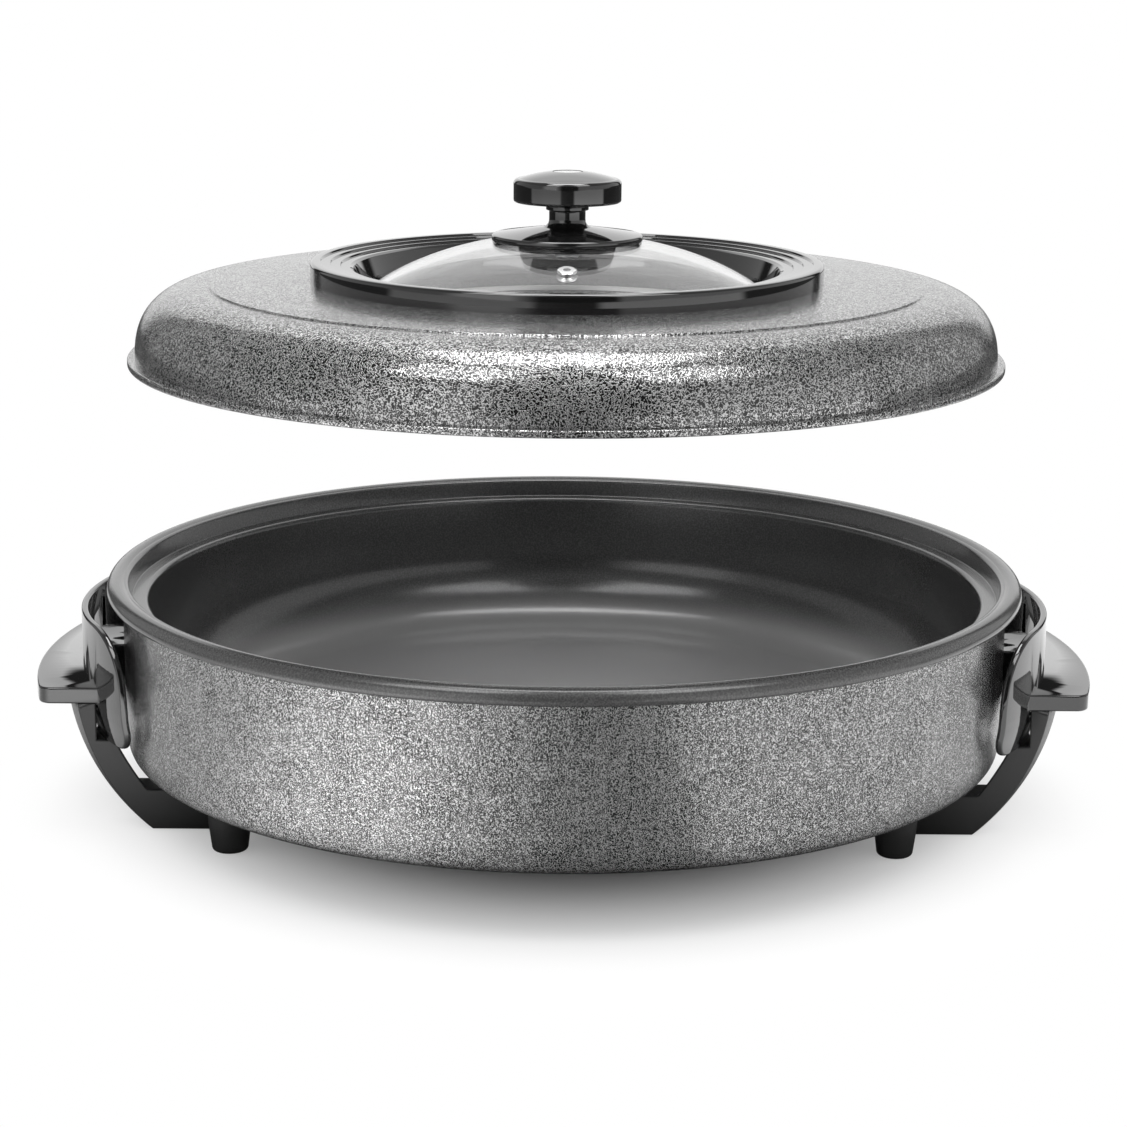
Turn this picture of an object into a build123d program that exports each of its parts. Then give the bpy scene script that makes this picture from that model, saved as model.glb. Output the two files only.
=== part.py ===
from build123d import *
import math
import os

# Electric multi pan with a lift-off lid, drawn with the lid raised over the pan.
# Millimetres, +Z up, +X towards the right grip, the inlet at the rear (+Y).
# The origin is on the pan's axis, on the surface that the pan stands on.

# Cooking bowl
RIM_OUTER_R = 210.0
RIM_CREST_INSET = 7.8
RIM_LIP_H = 6.3
RIM_UNDERCUT = 1.4
RIM_BEAD_H = 4.1
RIM_ROLL_W = 2.2
RIM_ROLL_H = 1.5
LEDGE_INSET = 3.5
LEDGE_DEPTH = 8.3
LEDGE_W = 5.2
LEDGE_ROLL_R = 2.4
CAVITY_DRAFT = 2.4
CAVITY_DEPTH = 70.0
CAVITY_FILLET_R = 35.0
WALL_T = 3.0
FLOOR_T = 4.0

# Outer shell
RIM_OVERHANG = 7.0
SHELL_T = 1.2
SHELL_CURVE_R = 36.0
SHELL_CURVE_H = 12.0
SHELL_BOTTOM_Z = 30.5
SHELL_HEEL_R = 5.0
BASE_OPENING_INSET = 57.0
ELEMENT_SPACE_H = 5.0

# Bottom cover, with its stud and nut
COVER_LAP = 6.0
COVER_RIM_W = 6.0
COVER_T = 1.2
COVER_H = 7.5
COVER_HEEL_R = 2.5
COVER_FLAT_INSET = 8.0
COVER_BEAD_OFFSET = 4.0
COVER_BEAD_W = 9.0
COVER_BEAD_H = 1.1
STUD_R = 3.0
STUD_BOSS_R = 9.0
STUD_BITE = 9.0
STUD_END = 2.2
NUT_R = 5.8
NUT_H = 4.6

# Heating element, its clips and its terminals
TUBE_R = 3.3
ELEMENT_INSET = 38.0
TERMINAL_X = 15.0
TERMINAL_BEND_R = 16.0
TERMINAL_SETBACK = 12.0
PIN_R = 2.4
PIN_REACH = 17.0
CLIP_ANGLES = (-20.0, -90.0, 200.0)
CLIP_W = 12.0
CLIP_T = 1.2
CLIP_WING = 9.0
CLIP_SCREW_R = 1.4
CLIP_SCREW_BITE = 2.6
PROBE_WALL = 1.2
PROBE_BORE_R = 3.2
PROBE_L = 124.5
PROBE_REACH = 4.5
PROBE_CAP_T = 2.6

# Inlet housing at the rear lower edge
INLET_HALF_W = 31.0
INLET_DROP = 9.0
INLET_H = 21.5
INLET_PROUD = 1.0
INLET_BOX_L = 24.0
INLET_WALL = 2.6
INLET_CORNER_R = 3.0
INLET_EAR_W = 10.0
INLET_EAR_L = 12.0
INLET_EAR_T = 3.0
INLET_SCREW_R = 1.5
INLET_SCREW_BITE = 4.5
INLET_NOTCH_MARGIN = 2.0
EARTH_CLIP_W = 9.0
EARTH_CLIP_T = 0.8
EARTH_CLIP_RISE = 2.6

# Handles: a bowed shield with a grip plate
BOW_R = 132.0
BOW_PROUD = 20.0
SHIELD_T = 3.2
SHIELD_DROP = 14.5
SHIELD_H = 52.5
SHIELD_HALF_LENGTH = 82.0
SHIELD_TUCK = 2.8
SHIELD_TUCK_H = 19.5
SHIELD_END_RISE = 36.0
SHIELD_END_RUN = 27.0
SHIELD_TOE_R = 10.0
SHIELD_EDGE_R = 1.2
GRIP_DROP = 43.0
GRIP_T = 7.5
GRIP_PROUD = 19.8
GRIP_HALF_LENGTH = 60.0
GRIP_EDGE_R = 214.0
GRIP_CORNER_R = 6.0
GRIP_ROUND_R = 1.0
GRIP_CORE_DEPTH = 3.6
GRIP_CORE_HALF_L = 20.0
GRIP_RIB_T = 2.4
GRIP_RIB_COUNT = 2
GRIP_WALL = 3.0
PAD_HALF_W = 20.0
PAD_LIFT = 2.0
PAD_H = 14.0
HANDLE_SCREW_Y = 12.0
HANDLE_SCREW_R = 2.1
HANDLE_SCREW_L = 12.0

# Leg brackets, as radii from the bow's axis
LEG_W = 18.0
LEG_TOP_PROUD = 8.0
LEG_MID_INSET = 7.8
LEG_MID_LIFT = 0.5
LEG_TOE_INSET = 20.7
LEG_T = 12.7
LEG_TOP_T = 15.0
LEG_CROTCH_OFFSET = 1.5
LEG_CROTCH_R = 1.5
LEG_BAR_H = 18.5
LEG_BAR_INSET = 61.0
LEG_LIFT = 0.5
LEG_ROUND_R = 0.8
LEG_BOSS_INSET = 35.0
LEG_BOSS_R = 7.0
LEG_SCREW_SEAT_H = 12.0
LEG_SCREW_R = 1.9
LEG_SCREW_BITE = 4.5
TOP_SCREW_DROP = 6.0
TOP_SCREW_BITE = 5.0

# Feet
FOOT_CIRCLE_INSET = 33.0
FOOT_ANGLE = 30.0
FOOT_TOP_R = 10.4
FOOT_MID_R = 9.4
FOOT_MID_Z = 12.0
FOOT_BOTTOM_R = 8.1
FOOT_EDGE_R = 2.0
FOOT_RECESS_R = 4.4
FOOT_SCREW_GRIP = 15.5
FOOT_SCREW_R = 2.0
FOOT_NUT_R = 4.0
FOOT_NUT_H = 3.0
FOOT_SCREW_END = 1.0

# Lid
LID_LIFT = 106.4
LID_SLACK = 0.8
LID_T = 1.0
HEM_H = 3.2
HEM_W = 3.4
HEM_ROUND_R = 0.9
CREASE_INSET = 36.7
CREASE_STEP = 0.7
SHOULDER_H = 31.0
SHOULDER_POWER = 2.45
CROWN_RISE = 1.5
CROWN_FLAT_W = 2.0

# Bezel, glass and what clamps it
BEZEL_FLANGE_W = 12.7
BEZEL_H = 8.4
BEZEL_ROUND_R = 1.6
BEZEL_CREST_W = 3.0
BEZEL_STEPS = 3
BEZEL_STEP_W = 4.5
BEZEL_STEP_H = 0.9
BEZEL_INNER_LAP = 1.5
BEZEL_THROAT_LAP = 4.8
BEZEL_THROAT_DROP = 3.45
BEZEL_SCREW_COUNT = 6
BEZEL_SCREW_R = 1.5
BEZEL_SCREW_INSET = 6.5
BEZEL_SCREW_BITE = 5.0
GLASS_CURVE_R = 190.0
GLASS_T = 4.0
GLASS_R = 98.0
GLASS_BORE_R = 4.0
GASKET_LIP = 3.0
GASKET_T = 2.0
RETAINER_LAP = 4.0
RETAINER_WALL = 3.0
RETAINER_INSET = 2.0
RETAINER_T = 2.4
VENT_TILT = 18.2
VENT_FLANGE_R = 4.5
VENT_FLANGE_T = 1.1
VENT_BODY_R = 2.9
VENT_BORE_R = 1.6

# Knob
KNOB_BASE_R = 34.1
KNOB_EDGE_H = 2.2
KNOB_RISE = 3.0
KNOB_FLARE_R = 11.4
KNOB_NECK_R = 8.2
KNOB_NECK_LOW = 6.6
KNOB_NECK_H = 14.2
KNOB_SPIGOT_R = 6.0
KNOB_SPIGOT_H = 4.0
KNOB_CAP_R = 24.3
KNOB_CAP_SIDE = 9.2
KNOB_CAP_DOME = 4.9
KNOB_CAP_ROUND = 2.6
KNOB_DISC_R = 6.6
KNOB_DISC_T = 1.4
KNOB_DISC_DROP = 0.5
KNOB_BOLT_R = 2.9
KNOB_BOLT_BITE = 7.0
WASHER_R = 14.0
WASHER_T = 0.9
LOWER_DISC_R = 22.0
LOWER_DISC_T = 3.6

# Clearances and fasteners
SEAT_GAP = 0.3
SOFT_GAP = 0.1
SCREW_GAP = 0.15
SCREW_HEAD_RATIO = 1.9
SCREW_HEAD_H = 2.6

# Radii and reaches that follow from the rim
RIM_CREST_R = RIM_OUTER_R - RIM_CREST_INSET
LEDGE_R = RIM_CREST_R - LEDGE_INSET
CAVITY_R = LEDGE_R - LEDGE_W - LEDGE_ROLL_R
CAVITY_LOW_R = CAVITY_R - CAVITY_DRAFT
SHELL_R = RIM_OUTER_R - RIM_OVERHANG
BOWL_NECK_R = SHELL_R - SHELL_T - SEAT_GAP
BASE_OPENING_R = SHELL_R - BASE_OPENING_INSET
COVER_R = BASE_OPENING_R + COVER_LAP
COVER_FLAT_Y = COVER_R - COVER_FLAT_INSET
ELEMENT_R = BASE_OPENING_R - ELEMENT_INSET
PROBE_R = PROBE_BORE_R + PROBE_WALL
INLET_FRONT_Y = SHELL_R + INLET_PROUD
INLET_BOX_Y = INLET_FRONT_Y - INLET_BOX_L
TERMINAL_END_Y = INLET_BOX_Y - TERMINAL_SETBACK
BOW_REACH = SHELL_R + BOW_PROUD
BOW_X = BOW_REACH - BOW_R
GRIP_REACH = BOW_REACH + GRIP_PROUD
LEG_TOP_R = BOW_R + LEG_TOP_PROUD
LEG_MID_R = LEG_TOP_R - LEG_MID_INSET
LEG_TOE_R = LEG_MID_R - LEG_TOE_INSET
LEG_Y = GRIP_HALF_LENGTH - LEG_W / 2
LEG_BOSS_X = SHELL_R - LEG_BOSS_INSET
LEG_BAR_END = SHELL_R - LEG_BAR_INSET - BOW_X
FOOT_CIRCLE_R = SHELL_R - FOOT_CIRCLE_INSET
LID_R = LEDGE_R - LID_SLACK
CREASE_R = LID_R - CREASE_INSET
CLAMP_R = GLASS_R + GASKET_T + SEAT_GAP
LID_HOLE_R = CLAMP_R + RETAINER_WALL
SKIRT_R = LID_HOLE_R - SEAT_GAP
BEZEL_R = LID_HOLE_R + BEZEL_FLANGE_W
RETAINER_R = BEZEL_R - RETAINER_INSET

# Heights of the base, above the surface it stands on
UNDERSIDE_Z = SHELL_BOTTOM_Z + ELEMENT_SPACE_H
CAVITY_FLOOR_Z = UNDERSIDE_Z + FLOOR_T
RIM_Z = CAVITY_FLOOR_Z + CAVITY_DEPTH
RIM_LIP_Z = RIM_Z - RIM_LIP_H
LEDGE_Z = RIM_Z - LEDGE_DEPTH
SHELL_CURVE_Z = SHELL_BOTTOM_Z + SHELL_CURVE_H
COVER_Z = SHELL_BOTTOM_Z - COVER_H
TUBE_Z = UNDERSIDE_Z - TUBE_R
PROBE_Z = UNDERSIDE_Z - PROBE_R
INLET_BOTTOM_Z = SHELL_BOTTOM_Z - INLET_DROP
INLET_TOP_Z = INLET_BOTTOM_Z + INLET_H
SHIELD_TOP_Z = RIM_Z - SHIELD_DROP
SHIELD_BOTTOM_Z = SHIELD_TOP_Z - SHIELD_H
SHIELD_TUCK_Z = SHIELD_BOTTOM_Z + SHIELD_TUCK_H
GRIP_TOP_Z = RIM_Z - GRIP_DROP
GRIP_UNDER_Z = GRIP_TOP_Z - GRIP_T
PAD_LOW_Z = GRIP_UNDER_Z + PAD_LIFT
PAD_HIGH_Z = PAD_LOW_Z + PAD_H
HANDLE_SCREW_Z = PAD_LOW_Z + PAD_H / 2
LEG_BAR_TOP_Z = LEG_LIFT + LEG_BAR_H
LEG_SEAT_Z = LEG_LIFT + LEG_SCREW_SEAT_H
FOOT_SCREW_SEAT_Z = SHELL_BOTTOM_Z - FOOT_SCREW_GRIP
LID_SEAT_Z = LEDGE_Z + LID_LIFT

# Heights of the lid, above the underside of its hem
CREASE_H = HEM_H + SHOULDER_H
CROWN_H = CREASE_H + CREASE_STEP + CROWN_RISE
CLAMP_TOP_H = CROWN_H - BEZEL_THROAT_DROP
GLASS_CENTRE_H = CLAMP_TOP_H - GASKET_T - math.sqrt(GLASS_CURVE_R**2 - (GLASS_R - GASKET_LIP) ** 2)
GLASS_CROWN_H = GLASS_CENTRE_H + GLASS_CURVE_R
KNOB_FOOT_H = GLASS_CROWN_H + SEAT_GAP
KNOB_CAP_H = KNOB_FOOT_H + KNOB_NECK_H


def turned(*curves):
    """A closed outline of radius and height, turned about the vertical axis."""
    return revolve(Plane.XZ * make_face(curves), Axis.Z)


def turned_polygon(*points):
    return turned(Polyline(*points, close=True))


def disc(radius, low, high):
    return Pos(0, 0, low) * extrude(Circle(radius), high - low)


def ring(outer, inner, low, high):
    return Pos(0, 0, low) * extrude(Circle(outer) - Circle(inner), high - low)


def block(x_range, y_range, z_range):
    ranges = (x_range, y_range, z_range)
    size = [high - low for low, high in ranges]
    centre = [(high + low) / 2 for low, high in ranges]
    return Pos(*centre) * Box(*size)


def rod_x(radius, start, length):
    return Plane(origin=start, z_dir=(1, 0, 0)) * extrude(Circle(radius), length)


def rod_y(radius, start, length):
    return Plane(origin=start, z_dir=(0, 1, 0)) * extrude(Circle(radius), length)


def screw(radius, length):
    """A pan-head screw that points up, with its head's underside at z = 0."""
    head = Pos(0, 0, -SCREW_HEAD_H) * extrude(Circle(radius * SCREW_HEAD_RATIO), SCREW_HEAD_H)
    head = fillet(head.edges().group_by(Axis.Z)[0], SCREW_HEAD_H * 0.4)
    return head + extrude(Circle(radius), length)


def nut(radius, height, bore):
    return extrude(RegularPolygon(radius, 6) - Circle(bore), height)


def mirrored(shape):
    return mirror(shape, about=Plane.YZ)


def polar(radius, degrees):
    angle = math.radians(degrees)
    return radius * math.cos(angle), radius * math.sin(angle)


def group(shapes):
    return Compound(children=list(shapes))


def write(name, shape):
    shape.label = name
    export_step(shape, "parts/" + name + ".step")


def foot_places():
    """Front left, front right, rear left and rear right."""
    x, y = polar(FOOT_CIRCLE_R, FOOT_ANGLE)
    return {"front_left": (-x, -y), "front_right": (x, -y), "rear_left": (-x, y), "rear_right": (x, y)}


def leg_screw_places():
    return [(side * LEG_BOSS_X, y) for side in (-1, 1) for y in (-LEG_Y, LEG_Y)]


def clip_screw_places():
    """The two screws of each clip, one each side of the tube."""
    offset = TUBE_R + CLIP_T + CLIP_WING / 2
    return [polar(ELEMENT_R + side * offset, angle) for angle in CLIP_ANGLES for side in (-1, 1)]


def cooking_bowl():
    """Cast pan: rolled rim, lid ledge, drafted wall, wide fillet and flat floor."""
    lip_r = LEDGE_R - LEDGE_W
    roll_z = LEDGE_Z - LEDGE_ROLL_R
    bend_r = CAVITY_LOW_R - CAVITY_FILLET_R
    bend_z = CAVITY_FLOOR_Z + CAVITY_FILLET_R
    inner_bend = CenterArc((bend_r, bend_z), CAVITY_FILLET_R, -90, 90)
    outer_bend = EllipticalCenterArc(
        (bend_r, bend_z), CAVITY_FILLET_R + WALL_T, CAVITY_FILLET_R + FLOOR_T, -90, arc_size=90
    )
    shelf_z = LEDGE_Z - WALL_T
    crest_in = (RIM_CREST_R - RIM_ROLL_W, RIM_Z - RIM_ROLL_H)
    crest = (RIM_CREST_R, RIM_Z)
    shoulder = (RIM_OUTER_R, RIM_Z - RIM_BEAD_H)
    under = (RIM_OUTER_R - RIM_UNDERCUT, RIM_LIP_Z)
    body = turned(
        Line((0, CAVITY_FLOOR_Z), inner_bend @ 0),
        inner_bend,
        Line(inner_bend @ 1, (CAVITY_R, roll_z)),
        TangentArc((CAVITY_R, roll_z), (lip_r, LEDGE_Z), tangent=(0, 1)),
        Line((lip_r, LEDGE_Z), (LEDGE_R, LEDGE_Z)),
        Line((LEDGE_R, LEDGE_Z), crest_in),
        TangentArc(crest, crest_in, tangent=(-1, 0)),
        TangentArc(shoulder, crest, tangent=(0, 1)),
        TangentArc(shoulder, under, tangent=(0, -1)),
        Line(under, (BOWL_NECK_R, RIM_LIP_Z)),
        Line((BOWL_NECK_R, RIM_LIP_Z), (BOWL_NECK_R, shelf_z)),
        Line((BOWL_NECK_R, shelf_z), (CAVITY_R + WALL_T, shelf_z)),
        Line((CAVITY_R + WALL_T, shelf_z), outer_bend @ 1),
        outer_bend,
        Line(outer_bend @ 0, (0, UNDERSIDE_Z)),
        Line((0, UNDERSIDE_Z), (0, CAVITY_FLOOR_Z)),
    )
    body += disc(STUD_BOSS_R, COVER_Z + COVER_T, UNDERSIDE_Z + 1)
    body -= disc(STUD_R + SCREW_GAP, COVER_Z, COVER_Z + COVER_T + STUD_BITE + SCREW_GAP)
    for x, y in clip_screw_places():
        body -= Pos(x, y) * disc(CLIP_SCREW_R + SCREW_GAP, UNDERSIDE_Z, UNDERSIDE_Z + CLIP_SCREW_BITE + SCREW_GAP)
    return body


def shell_body(inset):
    """The shell's solid form, drawn in by inset all round."""
    radius = SHELL_R - inset
    low = SHELL_BOTTOM_Z + inset
    curve_r = SHELL_CURVE_R - inset
    centre_r = SHELL_R - SHELL_CURVE_R
    drop = SHELL_CURVE_Z - low
    foot_r = centre_r + math.sqrt(curve_r**2 - drop**2)
    form = turned(
        Line((0, low), (foot_r, low)),
        TangentArc((radius, SHELL_CURVE_Z), (foot_r, low), tangent=(0, -1)),
        Line((radius, SHELL_CURVE_Z), (radius, RIM_LIP_Z)),
        Line((radius, RIM_LIP_Z), (0, RIM_LIP_Z)),
        Line((0, RIM_LIP_Z), (0, low)),
    )
    heel = form.edges().filter_by(GeomType.CIRCLE).group_by(Axis.Z)[0]
    return fillet(heel, SHELL_HEEL_R - inset)


def outer_shell():
    """Hammered wall round the pan, curved in at its foot to a flat bottom flange."""
    body = shell_body(0) - shell_body(SHELL_T)
    body -= disc(BASE_OPENING_R, SHELL_BOTTOM_Z - 1, SHELL_BOTTOM_Z + SHELL_T + 1)
    half_w = INLET_HALF_W + SEAT_GAP
    window_y = INLET_BOX_Y - SEAT_GAP
    body -= block((-half_w, half_w), (window_y, SHELL_R + 1), (SHELL_BOTTOM_Z - 1, INLET_TOP_Z + SEAT_GAP))
    half_w = TERMINAL_X + TUBE_R + INLET_NOTCH_MARGIN
    body -= block((-half_w, half_w), (BASE_OPENING_R / 2, INLET_BOX_Y), (SHELL_BOTTOM_Z - 1, UNDERSIDE_Z))
    holes = [(x, y, FOOT_SCREW_R) for x, y in foot_places().values()]
    holes += [(x, y, LEG_SCREW_R) for x, y in leg_screw_places()]
    holes += [(x, y, INLET_SCREW_R) for x, y in inlet_screw_places()]
    for x, y, radius in holes:
        body -= Pos(x, y) * disc(radius + SCREW_GAP, SHELL_BOTTOM_Z - 1, SHELL_BOTTOM_Z + SHELL_T + 1)
    for y in (-HANDLE_SCREW_Y, HANDLE_SCREW_Y):
        start = (-SHELL_R, y, HANDLE_SCREW_Z)
        body -= rod_x(HANDLE_SCREW_R + SCREW_GAP, start, 2 * SHELL_R)
    return body


def cover_outline(radius, flat_y):
    return Circle(radius) & Pos(0, flat_y - radius) * Rectangle(2 * radius, 2 * radius)


def bottom_cover():
    """Pressed tray under the element, with a flat at the rear where the terminals leave."""
    tray = Pos(0, 0, COVER_Z) * extrude(cover_outline(COVER_R, COVER_FLAT_Y), COVER_H)
    tray = fillet(tray.faces().sort_by(Axis.Z)[0].edges(), COVER_HEEL_R)
    rim = cover_outline(COVER_R + COVER_RIM_W, COVER_FLAT_Y)
    tray += Pos(0, 0, SHELL_BOTTOM_Z - COVER_T) * extrude(rim, COVER_T)
    hollow = Pos(0, 0, COVER_Z + COVER_T) * extrude(
        cover_outline(COVER_R - COVER_T, COVER_FLAT_Y - COVER_T), COVER_H
    )
    tray -= fillet(hollow.faces().sort_by(Axis.Z)[0].edges(), COVER_HEEL_R - COVER_T)
    inner = ELEMENT_R + COVER_BEAD_OFFSET - COVER_BEAD_W / 2
    outer = inner + COVER_BEAD_W
    bead = [(inner, 0), (inner + COVER_BEAD_H, -COVER_BEAD_H), (outer - COVER_BEAD_H, -COVER_BEAD_H), (outer, 0)]
    tray += turned_polygon(*[(r, COVER_Z + z) for r, z in bead])
    tray -= turned_polygon(*[(r, COVER_Z + COVER_T + z) for r, z in bead])
    slots = [(-TERMINAL_X, TUBE_R, TUBE_Z), (TERMINAL_X, TUBE_R, TUBE_Z), (0, PROBE_R, PROBE_Z)]
    for x, radius, z in slots:
        half = radius + SEAT_GAP
        tray -= block((x - half, x + half), (COVER_FLAT_Y - 3, COVER_FLAT_Y + 1), (z - half, SHELL_BOTTOM_Z + 1))
    return tray - disc(STUD_R + SCREW_GAP, COVER_Z - 1, COVER_Z + COVER_T + 1)


def centre_stud():
    return disc(STUD_R, COVER_Z - NUT_H - STUD_END, COVER_Z + COVER_T + STUD_BITE)


def centre_nut():
    return Pos(0, 0, COVER_Z - NUT_H) * nut(NUT_R, NUT_H, STUD_R + SCREW_GAP)


def heating_element():
    """Sheathed tube: one loop under the floor, bent out to two terminals at the rear."""
    bend = TERMINAL_BEND_R
    leave = math.acos((TERMINAL_X + bend) / (ELEMENT_R + bend))
    bend_y = (ELEMENT_R + bend) * math.sin(leave)
    join = (ELEMENT_R * math.cos(leave), ELEMENT_R * math.sin(leave))
    half_turn = (math.pi + leave + math.pi) / 2
    middle = (
        TERMINAL_X + bend + bend * math.cos(half_turn),
        bend_y + bend * math.sin(half_turn),
    )
    path = (
        Line((TERMINAL_X, TERMINAL_END_Y), (TERMINAL_X, bend_y))
        + ThreePointArc((TERMINAL_X, bend_y), middle, join)
        + ThreePointArc(join, (0, -ELEMENT_R), (-join[0], join[1]))
        + ThreePointArc((-join[0], join[1]), (-middle[0], middle[1]), (-TERMINAL_X, bend_y))
        + Line((-TERMINAL_X, bend_y), (-TERMINAL_X, TERMINAL_END_Y))
    )
    section = Plane(origin=(TERMINAL_X, TERMINAL_END_Y), z_dir=(0, -1, 0)) * Circle(TUBE_R)
    return Pos(0, 0, TUBE_Z) * sweep(section, path=path)


def element_clip(angle):
    """A hat-shaped strap that holds the tube up against the floor."""
    inner = TUBE_R + SEAT_GAP
    outer = inner + CLIP_T
    wing = outer + CLIP_WING
    low = -TUBE_R - SEAT_GAP - CLIP_T
    half = [(wing, TUBE_R), (inner, TUBE_R), (inner, low + CLIP_T), (0, low + CLIP_T)]
    half += [(0, low), (outer, low), (outer, TUBE_R - CLIP_T), (wing, TUBE_R - CLIP_T)]
    side = make_face(Polyline(*half, close=True))
    hat = extrude(Plane.XZ * (side + mirror(side, about=Plane.YZ)), CLIP_W / 2, both=True)
    for x in (-1, 1):
        hole = Pos(x * (TUBE_R + CLIP_T + CLIP_WING / 2)) * disc(CLIP_SCREW_R + SCREW_GAP, 0, TUBE_R + 1)
        hat -= hole
    return Rot(0, 0, angle) * Pos(ELEMENT_R, 0, TUBE_Z) * hat


def clip_screws():
    head_z = UNDERSIDE_Z - CLIP_T
    body = screw(CLIP_SCREW_R, CLIP_T + CLIP_SCREW_BITE)
    return group(Pos(x, y, head_z) * body for x, y in clip_screw_places())


def probe_guide():
    """Tube under the floor that takes the thermostat plug's probe."""
    start_y = INLET_BOX_Y + PROBE_REACH - PROBE_L
    bore_start = (0, start_y + PROBE_CAP_T, PROBE_Z)
    return rod_y(PROBE_R, (0, start_y, PROBE_Z), PROBE_L) - rod_y(PROBE_BORE_R, bore_start, PROBE_L)


def contact_pins():
    length = TERMINAL_SETBACK + PIN_REACH
    pins = []
    for x in (-TERMINAL_X, TERMINAL_X):
        pin = rod_y(PIN_R, (x, TERMINAL_END_Y, TUBE_Z), length)
        pins.append(fillet(pin.edges().group_by(Axis.Y)[-1], PIN_R / 2))
    return group(pins)


def inlet_screw_places():
    x = INLET_HALF_W + INLET_EAR_W / 2
    return [(-x, INLET_BOX_Y + INLET_EAR_L / 2), (x, INLET_BOX_Y + INLET_EAR_L / 2)]


def inlet_housing():
    """Moulded socket: an open box for the plug, and a trough that covers the terminals."""
    half_w, wall = INLET_HALF_W, INLET_WALL
    inner_w = half_w - wall
    trough_y = COVER_FLAT_Y + SEAT_GAP
    rear = INLET_BOX_Y + wall
    low = INLET_BOTTOM_Z
    box = block((-half_w, half_w), (INLET_BOX_Y, INLET_FRONT_Y), (low, INLET_TOP_Z))
    box = fillet(box.edges().filter_by(Axis.Y), INLET_CORNER_R)
    body = box + block((-half_w, half_w), (trough_y, rear + 1), (low, SHELL_BOTTOM_Z))
    for side in (-1, 1):
        near, far = sorted((side * (half_w - 1), side * (half_w + INLET_EAR_W)))
        y_range = (INLET_BOX_Y, INLET_BOX_Y + INLET_EAR_L)
        body += block((near, far), y_range, (SHELL_BOTTOM_Z - INLET_EAR_T, SHELL_BOTTOM_Z))
    body -= block((-inner_w, inner_w), (trough_y + wall, INLET_BOX_Y), (low + wall, INLET_TOP_Z))
    socket = block((-inner_w, inner_w), (rear, INLET_FRONT_Y + 1), (low + wall, INLET_TOP_Z - wall))
    body -= fillet(socket.edges().filter_by(Axis.Y), INLET_CORNER_R - wall / 2)
    for x in (-TERMINAL_X, TERMINAL_X):
        body -= rod_y(PIN_R + SCREW_GAP, (x, INLET_BOX_Y - 1, TUBE_Z), wall + 2)
        body -= rod_y(TUBE_R + SEAT_GAP, (x, trough_y - 1, TUBE_Z), wall + 2)
    body -= rod_y(PROBE_R + SCREW_GAP, (0, trough_y - 1, PROBE_Z), rear - trough_y + 2)
    for x, y in inlet_screw_places():
        body -= Pos(x, y) * disc(INLET_SCREW_R + SCREW_GAP, low, SHELL_BOTTOM_Z + 1)
    return body


def inlet_screws():
    head_z = SHELL_BOTTOM_Z - INLET_EAR_T
    body = screw(INLET_SCREW_R, INLET_EAR_T + INLET_SCREW_BITE)
    return group(Pos(x, y, head_z) * body for x, y in inlet_screw_places())


def earth_clip():
    """Bowed spring strip on the socket's floor."""
    floor_z = INLET_BOTTOM_Z + INLET_WALL
    start = INLET_BOX_Y + INLET_WALL + SEAT_GAP
    end = INLET_FRONT_Y - INLET_WALL
    middle = (start + end) / 2
    low = ThreePointArc((start, floor_z), (middle, floor_z + EARTH_CLIP_RISE), (end, floor_z))
    high = Pos(0, EARTH_CLIP_T) * low
    outline = make_face([low, high, Line(low @ 0, high @ 0), Line(low @ 1, high @ 1)])
    return extrude(Plane.YZ * outline, EARTH_CLIP_W / 2, both=True)


def bow(inset, top):
    """The shield's curve as a solid of revolution, drawn in by inset."""
    radius = BOW_R - inset
    toe = radius - SHIELD_TUCK
    low = SHIELD_BOTTOM_Z
    return Pos(BOW_X) * turned(
        Line((0, low), (toe, low)),
        TangentArc((radius, SHIELD_TUCK_Z), (toe, low), tangent=(0, -1)),
        Line((radius, SHIELD_TUCK_Z), (radius, top)),
        Line((radius, top), (0, top)),
        Line((0, top), (0, low)),
    )


def shield_outline():
    """The shield seen along X: a level top, long rounded ends and small toes."""
    length, top, low = SHIELD_HALF_LENGTH, SHIELD_TOP_Z, SHIELD_BOTTOM_Z
    knee = top - SHIELD_END_RISE
    curves = [
        Line((0, top), (length - SHIELD_END_RUN, top)),
        Spline((length - SHIELD_END_RUN, top), (length, knee), tangents=((1, 0), (0, -1))),
        Line((length, knee), (length, low + SHIELD_TOE_R)),
        TangentArc((length, low + SHIELD_TOE_R), (length - SHIELD_TOE_R, low), tangent=(0, -1)),
        Line((length - SHIELD_TOE_R, low), (0, low)),
        Line((0, low), (0, top)),
    ]
    half = make_face(curves)
    return half + mirror(half, about=Plane.YZ)


def grip_outline(inset, half_length, bow_inset):
    edge = Pos(GRIP_REACH - GRIP_EDGE_R) * Circle(GRIP_EDGE_R - inset)
    strip = Pos(GRIP_REACH) * Rectangle(2 * (GRIP_REACH - BOW_X), 2 * half_length)
    return (edge & strip) - Pos(BOW_X) * Circle(BOW_R - bow_inset)


def on_grip_edge(point):
    """Whether a point lies clear of the bow, on the grip's free edge."""
    return math.hypot(point.X - BOW_X, point.Y) > BOW_R


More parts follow.
